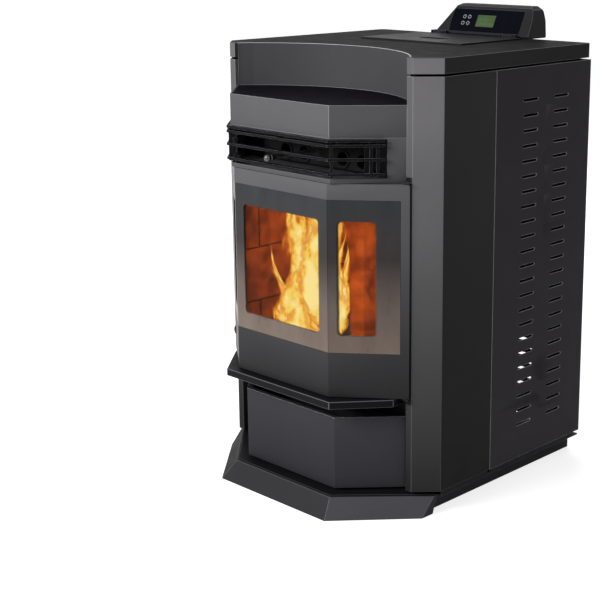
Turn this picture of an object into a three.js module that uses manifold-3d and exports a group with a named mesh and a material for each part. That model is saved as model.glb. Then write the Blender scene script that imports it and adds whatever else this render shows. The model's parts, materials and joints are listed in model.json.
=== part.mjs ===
// Free-standing pellet stove with a bay-window fire door, an ash drawer below it, a louvred
// hot-air grille above it and a hopper behind, in millimetres with +Z up.
// X runs to the right as seen from the front, and the front faces -Y. Heights are from the floor.
// Depths are measured from the plane of the two front posts. The last lines centre the whole stove.
import * as THREE from "three";
import { mergeVertices } from "three/addons/utils/BufferGeometryUtils.js";
import Module from "manifold-3d";

const wasm = await Module();
wasm.setup();

// ---------- driving dimensions ----------
const gap = 0.3; // assembly gap between neighbouring pieces
const sheet = 1.5; // casing sheet
const plate = 3; // welded steel plate

const stoveWidth = 546;
const fromSide = (inset) => Math.round((stoveWidth / 2 - inset) * 1000) / 1000;
const casingDepth = 465; // post plane to the outside of the rear panel
const topHeight = 822; // top face of the top plate
const topRim = 27; // depth of the top plate's folded rim
const topSeam = 4; // dark seam under that rim
const casingBottom = 43.5;
const postChamfer = 37.5; // the bevelled front corners
const postStrip = 14; // the narrow face beside the door
const postReturn = 22; // how far the strip's inner edge is folded back
const sideSeam = 178; // joint between the front casing and the louvred panel
const flange = 15; // folded edge inside a casing panel

const archDepth = 113; // deepest point of the concave cut in the top, behind the post plane
const archEnd = 7.33976; // depth of its two ends
const shelfHeight = 741;

const bayFront = -93.7; // front plane of the bay above the door
const bayHalfCentre = fromSide(145);
const bayAngle = 46; // facet angle of the bay, degrees
const fasciaBottom = 686;
const surroundBottom = 607.5;

const doorBottom = 221.2;
const doorTop = 606.4;
const doorHalfCentre = fromSide(152);
const doorFront = -93.6;
const doorEdgeX = fromSide(38.8);
const doorEdgeY = -5.2;
const doorSheet = 4;
const doorRearRing = 16.5; // rear face of the ring that carries the door seal
const glassBottom = 303;
const glassTop = 578;
const glassEdgeX = fromSide(51); // where the side panes end
const glassThickness = 4;
const windowBottom = 329;
const windowTop = 544;
const hingeX = fromSide(43.5);
const hingeY = -5.2;
const hingePinRadius = 2;

const frameFront = 18.5; // front face of the plate that carries the door and the firebox
const fireboxHalf = 165;
const fireboxBottom = 228;
const fireboxTop = 694;
const fireboxRear = 190;
const mouthTop = 590; // upper edge of the firebox mouth
const brick = 20; // liner thickness
const wingFront = -59; // how far forward the side liners reach, on their inner face
const wingBottom = 242;
const wingTop = 588;
const sideCourse = 104.5; // height of a brick in the side liners
const rearCourse = 148;
const mortarWidth = 3;
const mortarDepth = 2.5;

const ashBottom = 41;
const ashTop = 176.5;
const ashHalfCentre = fromSide(155.3);
const ashFront = -77.6;
const ashEdgeX = fromSide(66);
const panHalf = 148;
const panTop = 120;
const lipBottom = 205;
const lipTop = 219;

const skirtTop = 33;
const plinthHalf = fromSide(26);
const plinthCorner = fromSide(11); // where the plinth is widest
const trayCorner = fromSide(147); // corner of the tray under the drawer
const baseTop = 36;

const tubeRadius = 16;
const tubeWall = 2;
const tubePitch = 50;
const upperRow = 664;
const lowerRow = 628;
const chuteFoot = [138, 366]; // lower corner of the pellet chute over the burn pot
const chuteHead = [262, 470];
const rodX = -10;
const rodZ = 638;
const rodRadius = 4;
const knobRadius = 7;

const hopperHalf = 122;
const hopperFront = 243;
const hopperRear = 447;
const hopperFunnelTop = 660;
const augerRadius = 30;
const augerLow = new THREE.Vector3(0, 405, 411.6);
const augerHigh = new THREE.Vector3(0, 235, 518);

const blowerY = 276;
const blowerZ = 150;
const flueRadius = 40;
const flueX = -120;
const flueZ = 203;
const intakeX = -40;
const intakeZ = 252;
const intakeRadius = 22.5;
const intakeEnd = casingDepth + 35;
const rearReach = casingDepth + 42.5; // the flue outlet and the console end here

const consoleX = 12;
const consoleHalf = 122;
const consoleFront = casingDepth - 17;
const consoleHeight = 62;

const lidHalf = 130;
const lidFront = 250;
const lidRear = 434;

// ---------- facets on round pieces ----------
const boltSides = 8;
const tubeSides = 8;
const shaftSides = 8;
const pipeSides = 20;
const wheelSides = 16;
const archSteps = 18;
const runningFit = 0.8; // radial play of a turning shaft in its bore, over the facets' flats

// ---------- finishes ----------
function finish(hex, roughness, metalness) {
  return new THREE.MeshStandardMaterial({ color: hex, roughness, metalness });
}
const greyPaint = finish(0x5a5a5e, 0.42, 0.35);
const darkPaint = finish(0x26262a, 0.5, 0.3);
const blackPaint = finish(0x151518, 0.55, 0.2);
const bareSteel = finish(0x8a8a8c, 0.4, 0.8);
const castIron = finish(0x2e2b29, 0.8, 0.4);
const fireBrick = finish(0xb8743f, 0.9, 0);
const ceramicGlass = finish(0x5c524a, 0.15, 0.2);
const glassRope = finish(0x3a3a3a, 0.95, 0);
const blackPlastic = finish(0x101012, 0.4, 0);
const glossPanel = finish(0x0a0a10, 0.12, 0);
const greenDisplay = finish(0x54733a, 0.3, 0);
const silverPlastic = finish(0xb4b6ba, 0.35, 0.3);

// ---------- solid helpers ----------
function solid(geometry) {
  const bare = geometry.index ? geometry.toNonIndexed() : geometry.clone();
  bare.deleteAttribute("normal");
  bare.deleteAttribute("uv");
  const merged = mergeVertices(bare, 1e-4);
  return new wasm.Manifold(
    new wasm.Mesh({
      numProp: 3,
      vertProperties: new Float32Array(merged.attributes.position.array),
      triVerts: new Uint32Array(merged.index.array),
    }),
  );
}

function geometryOf(made) {
  const mesh = made.getMesh();
  const places = new Float32Array(mesh.numVert * 3);
  for (let i = 0; i < mesh.numVert; i++) {
    places.set(mesh.vertProperties.subarray(i * mesh.numProp, i * mesh.numProp + 3), i * 3);
  }
  const geometry = new THREE.BufferGeometry();
  geometry.setAttribute("position", new THREE.BufferAttribute(places, 3));
  geometry.setIndex(new THREE.BufferAttribute(new Uint32Array(mesh.triVerts), 1));
  return geometry;
}

function box(x0, x1, y0, y1, z0, z1) {
  const geometry = new THREE.BoxGeometry(x1 - x0, y1 - y0, z1 - z0);
  geometry.translate((x0 + x1) / 2, (y0 + y1) / 2, (z0 + z1) / 2);
  return solid(geometry);
}

function extruded(points, depth) {
  const shape = new THREE.Shape(points.map(([x, y]) => new THREE.Vector2(x, y)));
  return new THREE.ExtrudeGeometry(shape, { depth, bevelEnabled: false });
}

// An outline in X and Y, raised from z0 to z1.
function prism(points, z0, z1) {
  return solid(extruded(points, z1 - z0).translate(0, 0, z0));
}

// An outline in Y and Z, drawn out from x0 to x1.
function prismX(points, x0, x1) {
  const turn = new THREE.Matrix4().makeBasis(
    new THREE.Vector3(0, 1, 0),
    new THREE.Vector3(0, 0, 1),
    new THREE.Vector3(1, 0, 0),
  );
  return solid(extruded(points, x1 - x0).applyMatrix4(turn).translate(x0, 0, 0));
}

// An outline in X and Z, drawn out from y0 to y1.
function prismY(points, y0, y1) {
  const turn = new THREE.Matrix4().makeBasis(
    new THREE.Vector3(1, 0, 0),
    new THREE.Vector3(0, 0, 1),
    new THREE.Vector3(0, -1, 0),
  );
  return solid(extruded(points, y1 - y0).applyMatrix4(turn).translate(0, y1, 0));
}

function rod(from, to, radius, sides = shaftSides) {
  const a = new THREE.Vector3(...from);
  const b = new THREE.Vector3(...to);
  const along = b.clone().sub(a);
  const geometry = new THREE.CylinderGeometry(radius, radius, along.length(), sides);
  const turn = new THREE.Quaternion().setFromUnitVectors(
    new THREE.Vector3(0, 1, 0),
    along.clone().normalize(),
  );
  geometry.applyQuaternion(turn);
  geometry.translate(...a.add(b).multiplyScalar(0.5).toArray());
  return solid(geometry);
}

function joined(pieces) {
  return pieces.reduce((whole, piece) => whole.add(piece));
}

function withCuts(body, cuts) {
  return cuts.reduce((rest, cut) => rest.subtract(cut), body);
}

// Two outlines with as many points each, joined by flat or twisted sides.
function loft(lower, z0, upper, z1) {
  const count = lower.length;
  const corners = [];
  lower.forEach(([x, y]) => corners.push(x, y, z0));
  upper.forEach(([x, y]) => corners.push(x, y, z1));
  const faces = [];
  const flat = (points) => points.map(([x, y]) => new THREE.Vector2(x, y));
  THREE.ShapeUtils.triangulateShape(flat(lower), []).forEach(([a, b, c]) => faces.push(c, b, a));
  THREE.ShapeUtils.triangulateShape(flat(upper), []).forEach(([a, b, c]) => {
    faces.push(a + count, b + count, c + count);
  });
  for (let i = 0; i < count; i++) {
    const next = (i + 1) % count;
    faces.push(i, next, next + count, i, next + count, i + count);
  }
  const geometry = new THREE.BufferGeometry();
  geometry.setAttribute("position", new THREE.Float32BufferAttribute(corners, 3));
  geometry.setIndex(faces);
  return solid(geometry);
}

function rectangle(x0, x1, y0, y1) {
  return [[x0, y0], [x1, y0], [x1, y1], [x0, y1]];
}

// A flat outline with rounded ends, long side along the first axis.
function slotOutline(centreA, centreB, length, width) {
  const r = width / 2;
  const reach = length / 2 - r;
  const points = [];
  for (let end = 0; end < 2; end++) {
    for (let step = 0; step <= 2; step++) {
      const turn = -Math.PI / 2 + end * Math.PI + (step * Math.PI) / 2;
      const side = end === 0 ? reach : -reach;
      points.push([centreA + side + r * Math.cos(turn), centreB + r * Math.sin(turn)]);
    }
  }
  return points;
}

// ---------- the bay's folded outlines ----------
// A bay path runs left to right through four corners. Inwards is to its left, towards +Y.
function bayPath(halfCentre, front, halfEnd, end) {
  return [[-halfEnd, end], [-halfCentre, front], [halfCentre, front], [halfEnd, end]];
}

function facetDepth(halfCentre, front, x, degrees) {
  return front + (x - halfCentre) * Math.tan(THREE.MathUtils.degToRad(degrees));
}

function offsetPath(path, distance) {
  return path.map((corner, i) => {
    const before = path[i - 1] ?? null;
    const after = path[i + 1] ?? null;
    const normals = [];
    if (before) normals.push(leftNormal(before, corner));
    if (after) normals.push(leftNormal(corner, after));
    const sum = normals.reduce((a, n) => [a[0] + n[0], a[1] + n[1]], [0, 0]);
    const length = Math.hypot(...sum);
    const reach = (distance * normals.length) / length;
    return [corner[0] + (sum[0] / length) * reach, corner[1] + (sum[1] / length) * reach];
  });
}

function leftNormal(a, b) {
  const length = Math.hypot(b[0] - a[0], b[1] - a[1]);
  return [-(b[1] - a[1]) / length, (b[0] - a[0]) / length];
}

function band(path, outer, inner) {
  return [...offsetPath(path, outer), ...offsetPath(path, inner).reverse()];
}

// ---------- the scene graph ----------
const stove = new THREE.Group();
const frame = new THREE.Group();
stove.add(frame);

function add(name, made, material, parent = frame) {
  const mesh = new THREE.Mesh(geometryOf(made), material);
  mesh.name = name;
  parent.add(mesh);
  return mesh;
}

const half = stoveWidth / 2;
const stripOuter = half - postChamfer;
const stripInner = stripOuter - postStrip;
const casingTop = topHeight - topRim - topSeam;
const archRise = archDepth - archEnd;
const archRadius = (stripInner ** 2 + archRise ** 2) / (2 * archRise);
const archCentre = archDepth - archRadius;

// ---------- base ----------
function buildBase() {
  const lower = [
    [-plinthHalf, casingDepth], [-plinthHalf, 45], [-plinthCorner, 30], [-plinthCorner, 1], [-trayCorner - 15, -127.5],
    [trayCorner + 15, -127.5], [plinthCorner, 1], [plinthCorner, 30], [plinthHalf, 45], [plinthHalf, casingDepth],
  ];
  const upper = [
    [-plinthHalf, casingDepth], [-plinthHalf, 45], [-plinthCorner, 40], [-plinthCorner, 33], [-trayCorner - 2, -100],
    [trayCorner + 2, -100], [plinthCorner, 33], [plinthCorner, 40], [plinthHalf, 45], [plinthHalf, casingDepth],
  ];
  const wall = 2.5;
  const inset = (points) => points.map(([x, y]) => {
    const inX = x - Math.sign(x) * wall * 1.4;
    const inY = y > 300 ? y - wall : y + wall * 1.4;
    return [inX, inY];
  });
  const shell = loft(lower, 0, upper, skirtTop);
  const hollow = loft(inset(lower), -1, inset(upper), skirtTop - wall);
  const opening = box(-200, 200, -20, casingDepth - 40, 0, skirtTop + 1);
  add("base_plinth", withCuts(shell, [hollow, opening]), greyPaint);

  const edge = half - sheet - gap;
  const tray = prism(
    [
      [-edge, casingDepth - sheet - gap], [-edge, 42], [4 - plinthCorner, 33.4],
      [-trayCorner, -97], [trayCorner, -97], [plinthCorner - 4, 33.4], [edge, 42], [edge, casingDepth - sheet - gap],
    ],
    skirtTop,
    baseTop,
  );
  const rims = [-1, 1].map((side) => {
    const x = side * (edge - sheet / 2);
    const rim = box(x - sheet / 2, x + sheet / 2, 42, casingDepth - 20, baseTop - 1, 68);
    return rim.subtract(box(x - 3, x + 3, sideSeam - 4, sideSeam + 5, baseTop + 2, 70));
  });
  const runners = [-1, 1].flatMap((side) => {
    const x = side * (panHalf + 4);
    const ledge = side * (panHalf - 6);
    return [
      box(x - 1, x + 1, 24, 190, baseTop - 1, 70),
      box(Math.min(x, ledge), Math.max(x, ledge), 24, 190, 43, 45),
    ];
  });
  add("base_tray", joined([tray, ...rims, ...runners]), blackPaint);
}

// ---------- casing ----------
function sideCasing(side) {
  const m = ([x, y]) => [side * x, y];
  const outline = [
    [stripInner, 0], [stripOuter, 0], [half, postChamfer], [half, sideSeam],
    [half - flange, sideSeam], [half - flange, sideSeam - sheet], [half - sheet, sideSeam - sheet],
    [half - sheet, postChamfer + sheet * 0.4], [stripOuter - sheet * 0.4, sheet],
    [stripInner + sheet, sheet], [stripInner + sheet, postReturn], [stripInner, postReturn],
  ].map(m);
  return prism(side > 0 ? outline : outline.reverse(), casingBottom, casingTop);
}

function louvrePanel(side) {
  const front = sideSeam + 0.5;
  const rear = casingDepth - sheet - gap;
  const m = ([x, y]) => [side * x, y];
  const outline = [
    [half - flange, front], [half, front], [half, rear], [half - flange, rear],
    [half - flange, rear - sheet], [half - sheet, rear - sheet], [half - sheet, front + sheet],
    [half - flange, front + sheet],
  ].map(m);
  const panel = prism(side > 0 ? outline : outline.reverse(), casingBottom, casingTop);
  const rows = 23;
  const rowPitch = 28.2;
  const firstRow = 110.5;
  const columns = [279, 372];
  const slots = columns.flatMap((y) => Array.from({ length: rows }, (_, row) => {
    const outlineOfSlot = slotOutline(y, firstRow + row * rowPitch, 45, 5);
    return prismX(outlineOfSlot, side > 0 ? half - 4 : -half - 4, side > 0 ? half + 4 : 4 - half);
  }));
  return withCuts(panel, slots);
}

function rearPanel() {
  const inner = half - 0.4;
  const body = box(-inner, inner, casingDepth - sheet, casingDepth, casingBottom, casingTop);
  const y0 = casingDepth - 5;
  const y1 = casingDepth + 5;
  const vents = Array.from({ length: 7 }, (_, row) => {
    return prismY(slotOutline(110, 110 + row * 16, 90, 6), y0, y1);
  });
  return withCuts(body, [
    rod([flueX, y0, flueZ], [flueX, y1, flueZ], flueRadius + 2, pipeSides),
    rod([intakeX, y0, intakeZ], [intakeX, y1, intakeZ], intakeRadius + 3, pipeSides),
    box(171, 219, y0, y1, 61, 89),
    ...vents,
  ]);
}

function archPoints(radius, halfChord, steps) {
  const reach = Math.asin(halfChord / radius);
  return Array.from({ length: steps + 1 }, (_, i) => {
    const turn = -reach + (2 * reach * i) / steps;
    return [radius * Math.sin(turn), archCentre + radius * Math.cos(turn)];
  });
}

function topPlate() {
  const arch = archPoints(archRadius + sheet + gap, stripInner, archSteps);
  const corner = 10;
  const outline = [
    [stripOuter, 0], [half, postChamfer], [half, casingDepth - corner],
    [half - corner * 0.3, casingDepth - corner * 0.3], [half - corner, casingDepth],
    [-half + corner, casingDepth], [-half + corner * 0.3, casingDepth - corner * 0.3],
    [-half, casingDepth - corner], [-half, postChamfer], [-stripOuter, 0], [-stripInner, 0],
    ...arch, [stripInner, 0],
  ];
  const skin = 2;
  const block = prism(outline, topHeight - topRim, topHeight);
  const hollow = [
    [stripOuter - 1, skin], [half - skin, postChamfer + 1], [half - skin, casingDepth - corner],
    [half - corner, casingDepth - skin], [-half + corner, casingDepth - skin],
    [-half + skin, casingDepth - corner], [-half + skin, postChamfer + 1], [-stripOuter + 1, skin],
    [-stripInner - skin, skin], [-stripInner - skin, archDepth * 0.35], [-150, archDepth + 8],
    [150, archDepth + 8], [stripInner + skin, archDepth * 0.35], [stripInner + skin, skin],
  ];
  const under = prism(hollow, topHeight - topRim - 1, topHeight - skin);
  const frontOfArch = prism(
    [...archPoints(archRadius + sheet + 3, stripInner - 1, archSteps), [stripInner - 1, archDepth + 9],
      [-stripInner + 1, archDepth + 9]].reverse(),
    topHeight - topRim - 1,
    topHeight - skin,
  );
  const mouth = box(-118, 118, 258, 427, topHeight - 5, topHeight + 1);
  return withCuts(block, [under, frontOfArch, mouth]);
}

function buildCasing() {
  add("side_casing_left", sideCasing(-1), greyPaint);
  add("side_casing_right", sideCasing(1), greyPaint);
  add("louvre_panel_left", louvrePanel(-1), darkPaint);
  add("louvre_panel_right", louvrePanel(1), darkPaint);
  add("rear_panel", rearPanel(), darkPaint);
  add("top_plate", topPlate(), darkPaint);
  const chord = stripInner - gap;
  const face = archPoints(archRadius, chord, archSteps);
  const back = archPoints(archRadius + sheet, chord, archSteps).reverse();
  const sheetOutline = [...face, ...back].reverse();
  add("arch_fascia", prism(sheetOutline, shelfHeight + gap, topHeight), greyPaint);
}

// ---------- bay above the door ----------
const bayEndX = stripInner - gap;
const bayEndY = facetDepth(bayHalfCentre, bayFront, bayEndX, bayAngle);
const bayLine = bayPath(bayHalfCentre, bayFront, bayEndX, bayEndY);

function bayReturns(z0, z1) {
  return [-1, 1].map((side) => {
    const x = side * (bayEndX - sheet / 2);
    return box(x - sheet / 2, x + sheet / 2, bayEndY - 1, frameFront - gap, z0, z1);
  });
}

function buildBay() {
  const shelfFront = offsetPath(bayLine, sheet + gap);
  const shelfOutline = [
    [-(bayEndX - 2.5), frameFront + 100], [-(bayEndX - 2.5), shelfFront[0][1]],
    ...shelfFront.slice(1, 3), [bayEndX - 2.5, shelfFront[3][1]],
    [bayEndX - 2.5, frameFront + 100],
  ];
  add("bay_shelf", prism(shelfOutline, shelfHeight - 2.5, shelfHeight), blackPaint);

  const fascia = prism(band(bayLine, 0, sheet), fasciaBottom, shelfHeight + 0.5);
  const fasciaReturns = bayReturns(fasciaBottom, shelfHeight - 3);
  add("bay_fascia", joined([fascia, ...fasciaReturns]), greyPaint);

  const surroundTop = fasciaBottom - gap;
  const mouthHalf = fromSide(76);
  const wall = prism(band(bayLine, 0, sheet), surroundBottom, surroundTop);
  const mouth = box(-mouthHalf, mouthHalf, -120, 10, surroundBottom + 7.5, surroundTop - 2);
  const surround = joined([withCuts(wall, [mouth]), ...bayReturns(surroundBottom, surroundTop)]);
  add("grille_surround", surround, greyPaint);

  add("louvre_grille", louvreGrille(), blackPaint);
}

function louvreGrille() {
  const slatHeights = [624, 650, 673.5, 682];
  const reach = fromSide(79);
  const line = bayPath(
    bayHalfCentre,
    bayFront,
    reach,
    facetDepth(bayHalfCentre, bayFront, reach, bayAngle),
  );
  const pieces = slatHeights.flatMap((z, i) => {
    const lip = prism(band(line, -7.5, -5.5), z - 2.6, z + 2);
    const blade = prism(band(line, -6.5, i === 3 ? 1 : 9), z - 1.6, z + 0.4);
    return [lip, blade];
  });
  const bar = (x, width, outer, inner) => {
    const depthA = facetDepth(bayHalfCentre, bayFront, x, bayAngle);
    const depthB = facetDepth(bayHalfCentre, bayFront, x + width, bayAngle);
    return [-1, 1].map((side) => {
      const line2 = side > 0
        ? [[x, depthA], [x + width, depthB]]
        : [[-(x + width), depthB], [-x, depthA]];
      return prism(band(line2, outer, inner), slatHeights[0] - 6, slatHeights[3] + 1);
    });
  };
  const upright = [...bar(bayHalfCentre + 1, 3, -4.5, 3), ...bar(reach - 18, 3.5, -4, 6),
    ...bar(reach - 10, 3.5, -4, 6)];
  const tabs = slatHeights.slice(0, 3).flatMap((z) => {
    const slice = box(-stoveWidth, stoveWidth, -stoveWidth, stoveWidth, z - 4, z + 4);
    return bar(reach - 6, 15, sheet + gap, sheet + gap + 2).map((tab) => tab.intersect(slice));
  });
  const footTabs = bar(reach - 24, 26, 4, 6);
  return joined([...pieces, ...upright, ...tabs, ...footTabs]);
}

// ---------- front frame, firebox and liner ----------
const frameRear = frameFront + plate;
const headerHalf = fireboxHalf - 2;
const headerBottom = lowerRow - tubeRadius - 2;
const headerTop = upperRow + tubeRadius + 8;
const slotX = -fromSide(68);
const latchZ = 262;

// Height of the chute's underside at a depth.
function chuteFloor(y) {
  const slope = (chuteHead[1] - chuteFoot[1]) / (chuteHead[0] - chuteFoot[0]);
  return chuteFoot[1] + (y - chuteFoot[0]) * slope;
}

function tubeCentres() {
  const upper = [-2.5, -1.5, -0.5, 0.5, 1.5, 2.5].map((n) => [n * tubePitch, upperRow]);
  const lower = [-2, -1, 1, 2].map((n) => [n * tubePitch, lowerRow]);
  return [...upper, ...lower];
}

function tubeHoles(y0, y1, radius) {
  return tubeCentres().map(([x, z]) => rod([x, y0, z], [x, y1, z], radius, tubeSides));
}

function buildFirebox() {
  const frameHalf = stripInner - gap;
  const face = box(-frameHalf, frameHalf, frameFront, frameRear, baseTop + gap, shelfHeight - 3);
  const y0 = frameFront - 5;
  const y1 = frameRear + 5;
  add("front_frame", withCuts(face, [
    box(-fireboxHalf + 2, fireboxHalf - 2, y0, y1, fireboxBottom + 6, mouthTop),
    box(-headerHalf - gap, headerHalf + gap, y0, y1, headerBottom - gap, headerTop + gap),
    box(-panHalf - 8, panHalf + 8, y0, y1, baseTop, panTop + 8),
    box(slotX - 9, slotX + 9, y0, y1, latchZ - 22, latchZ + 22),
  ]), blackPaint);

  const front = frameRear + gap;
  const outer = box(-fireboxHalf, fireboxHalf, front, fireboxRear, fireboxBottom, fireboxTop);
  const inner = box(
    -fireboxHalf + plate, fireboxHalf - plate, front + plate, fireboxRear - plate,
    fireboxBottom + plate, fireboxTop - plate,
  );
  const mouth = box(
    -fireboxHalf + plate, fireboxHalf - plate, front - 1, front + plate + 1,
    fireboxBottom + plate, mouthTop,
  );
  const smokeBox = box(-178, -100, fireboxRear - 1, 216, 240, 300);
  const smokeDrop = box(-178, -146, 196, 330, 95, 300);
  const smokeHollow = joined([
    box(-176, -102, fireboxRear - plate - 1, 214, 242, 298),
    box(-176, -148, 198, 328, 97, 298),
  ]);
  const smokeInlet = rod([-150, blowerY, blowerZ], [-140, blowerY, blowerZ], 34, wheelSides);
  const cradle = box(-48, 48, 72, 152, fireboxBottom + 1, 262);
  const cradleHollow = box(-44, 44, 76, 148, fireboxBottom + plate, 263);
  const shell = withCuts(joined([
    withCuts(outer, [inner, mouth]),
    smokeBox,
    smokeDrop,
  ]), [smokeHollow, smokeInlet]);
  const rearCuts = [
    ...tubeHoles(front - 2, fireboxRear + 2, tubeRadius + gap),
    rod([rodX, front - 2, rodZ], [rodX, front + 6, rodZ], rodRadius + 0.5),
    box(-28, 28, fireboxRear - 6, fireboxRear + 4, 388, 472),
    rod([intakeX, fireboxRear - 6, intakeZ], [intakeX, fireboxRear + 6, intakeZ],
      intakeRadius + gap, pipeSides),
    rod([0, fireboxRear - 6, 285], [0, fireboxRear + 6, 285], 5.4),
  ];
  const cradlePort = box(-49, -43, 100, 130, 238, 256);
  add("firebox_shell", withCuts(joined([shell, withCuts(cradle, [cradleHollow, cradlePort])]),
    rearCuts), darkPaint);

  buildLiner(front);

  const potFlange = box(-50, 50, 70, 154, 262 + gap, 266);
  const potBody = loft(rectangle(-38, 38, 82, 142), 240, rectangle(-43, 43, 77.5, 147.5), 264);
  const potUpper = box(-46, 46, 74, 150, 264, 312);
  const potHollow = loft(rectangle(-33, 33, 87, 137), 246, rectangle(-42, 42, 78, 146), 313);
  const airHoles = [-24, 0, 24].flatMap((x) => [288, 300].map((z) => {
    return rod([x, 70, z], [x, 84, z], 3, 6);
  }));
  const floorHoles = [-20, 0, 20].flatMap((x) => [98, 112, 126].map((y) => {
    return rod([x, y, 238], [x, y, 250], 3, 6);
  }));
  const glowPort = rod([0, 140, 285], [0, 160, 285], 5.4);
  add("burn_pot", withCuts(joined([potFlange, potBody, potUpper]),
    [potHollow, ...airHoles, ...floorHoles, glowPort]), castIron);

  add("igniter", rod([0, 148, 285], [0, 226, 285], 5), bareSteel);
}

// A refractory slab in its own flat frame: width along X, height along Y, joints cut in its face.
// Every second course starts with its upright joint at first, the others half a brick further.
function brickSlab(width, height, course, length, first) {
  const slab = box(0, width, 0, height, 0, brick);
  const rows = Math.ceil(height / course);
  const half = mortarWidth / 2;
  const beds = Array.from({ length: rows - 1 }, (_, row) => {
    const y = (row + 1) * course;
    return box(-1, width + 1, y - half, y + half, brick - mortarDepth, brick + 1);
  });
  const uprights = Array.from({ length: rows }, (_, row) => {
    const start = row % 2 === 0 ? first : first + length / 2;
    const count = Math.ceil((width - mortarWidth - start) / length);
    return Array.from({ length: Math.max(count, 0) }, (__, i) => {
      const x = start + i * length;
      const top = Math.min((row + 1) * course, height + 1);
      return box(x - half, x + half, row * course, top, brick - mortarDepth, brick + 1);
    });
  });
  return withCuts(slab, [...beds, ...uprights.flat()]);
}

// The left liner in its own frame, from its front edge. Its front part is a wing that reaches
// through the firebox mouth into the bay, bevelled to clear the door's side pane.
function sideLiner(width, height, bottom, mouth) {
  const slab = brickSlab(width, height, sideCourse, 180, 41);
  const wingCuts = [
    box(-1, mouth, -1, wingBottom - bottom, -1, brick + 1),
    box(-1, mouth, wingTop - bottom, height + 1, -1, brick + 1),
    prismY([[-1, -1], [16, -1], [0.5, brick], [-1, brick]], -1, height + 1),
  ];
  return withCuts(slab, wingCuts);
}

function buildLiner(front) {
  const bottom = fireboxBottom + plate + gap;
  const height = mouthTop + 6 - bottom;
  const rearFace = fireboxRear - plate - gap;
  const sideX = fireboxHalf - plate - gap;
  const sideRun = rearFace - wingFront;
  const mouth = front + plate + 2 - wingFront;

  const rearWidth = 2 * (sideX - brick - gap);
  const middle = rearWidth / 2;
  const through = [-1, brick + 1];
  const portBottom = chuteFloor(rearFace - brick) - 2.07;
  const chutePort = box(middle - 28, middle + 28, portBottom - bottom, 472 - bottom, ...through);
  const glowPort = box(middle - 6, middle + 6, 279 - bottom, 291 - bottom, ...through);
  const airX = middle + intakeX;
  const airPort = box(airX - 24, airX + 24, -1, intakeZ + 25 - bottom, ...through);
  const smokePort = box(-1, middle - 104, 244 - bottom, 296 - bottom, ...through);
  const rear = add("brick_liner_rear", withCuts(brickSlab(rearWidth, height, rearCourse, 190, 95),
    [chutePort, glowPort, airPort, smokePort]), fireBrick);
  rear.rotation.x = Math.PI / 2;
  rear.position.set(-rearWidth / 2, rearFace, bottom);

  const side = sideLiner(sideRun, height, bottom, mouth);
  const left = add("brick_liner_left", side, fireBrick);
  left.rotation.set(Math.PI / 2, 0, Math.PI / 2, "ZYX");
  left.position.set(-sideX, wingFront, bottom);

  const right = add("brick_liner_right", side.mirror([1, 0, 0]).translate([sideRun, 0, 0]), fireBrick);
  right.rotation.set(Math.PI / 2, 0, -Math.PI / 2, "ZYX");
  right.position.set(sideX, rearFace, bottom);
}

// ---------- heat exchanger and its scraper ----------
function buildExchanger() {
  const rearHeader = fireboxRear + gap;
  const bores = tubeHoles(0, 220, tubeRadius - tubeWall);
  const tubes = tubeHoles(frameFront + 1, rearHeader + 2, tubeRadius);
  const frontPlate = box(-headerHalf, headerHalf, frameFront, frameRear, headerBottom, headerTop);
  const rearPlate = box(-150, 150, rearHeader, rearHeader + plate, headerBottom, headerTop);
  const rodHole = rod([rodX, 10, rodZ], [rodX, 30, rodZ], rodRadius + 0.5);
  add("heat_exchanger", withCuts(joined([...tubes, frontPlate, rearPlate]), [...bores, rodHole]),
    darkPaint);

  const scraperY = 110;
  const scraper = box(-156, 156, scraperY, scraperY + plate, headerBottom - 6, headerTop - 2);
  const scraperHoles = tubeHoles(scraperY - 2, scraperY + plate + 2, tubeRadius + 0.8);
  const rodSeat = rod([rodX, scraperY - 2, rodZ], [rodX, scraperY + 6, rodZ], 3 + gap);
  add("scraper_plate", withCuts(scraper, [...scraperHoles, rodSeat]), bareSteel);

  const knobY = bayFront - 16;
  const pull = rod([rodX, knobY, rodZ], [rodX, scraperY - gap, rodZ], rodRadius);
  const tenon = rod([rodX, scraperY - 3, rodZ], [rodX, scraperY + plate + 3, rodZ], 3);
  const ball = new THREE.SphereGeometry(knobRadius, 12, 8).translate(rodX, knobY, rodZ);
  add("scraper_rod", joined([pull, tenon, solid(ball)]), bareSteel);
}

// ---------- hopper, auger and chute ----------
const augerAxis = augerHigh.clone().sub(augerLow).normalize();

function augerPoint(distance, lift = 0) {
  const up = new THREE.Vector3(0, -augerAxis.z, augerAxis.y).negate();
  const at = augerLow.clone().addScaledVector(augerAxis, distance).addScaledVector(up, lift);
  return at.toArray();
}

function helicalFlight(shaft, outer, pitch, start, end, thickness) {
  const perTurn = 10;
  const steps = Math.round(((end - start) / pitch) * perTurn);
  const corners = [];
  const faces = [];
  for (let i = 0; i <= steps; i++) {
    const turn = (2 * Math.PI * i) / perTurn;
    const z = start + (pitch * i) / perTurn;
    [[shaft, z], [outer, z], [outer, z + thickness], [shaft, z + thickness]].forEach(([r, h]) => {
      corners.push(r * Math.cos(turn), r * Math.sin(turn), h);
    });
  }
  for (let i = 0; i < steps; i++) {
    for (let k = 0; k < 4; k++) {
      const a = i * 4 + k;
      const b = i * 4 + ((k + 1) % 4);
      faces.push(a, b + 4, b, a, a + 4, b + 4);
    }
  }
  const last = steps * 4;
  faces.push(0, 1, 2, 0, 2, 3, last, last + 2, last + 1, last, last + 3, last + 2);
  const geometry = new THREE.BufferGeometry();
  geometry.setAttribute("position", new THREE.Float32BufferAttribute(corners, 3));
  geometry.setIndex(faces);
  return solid(geometry);
}

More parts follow.
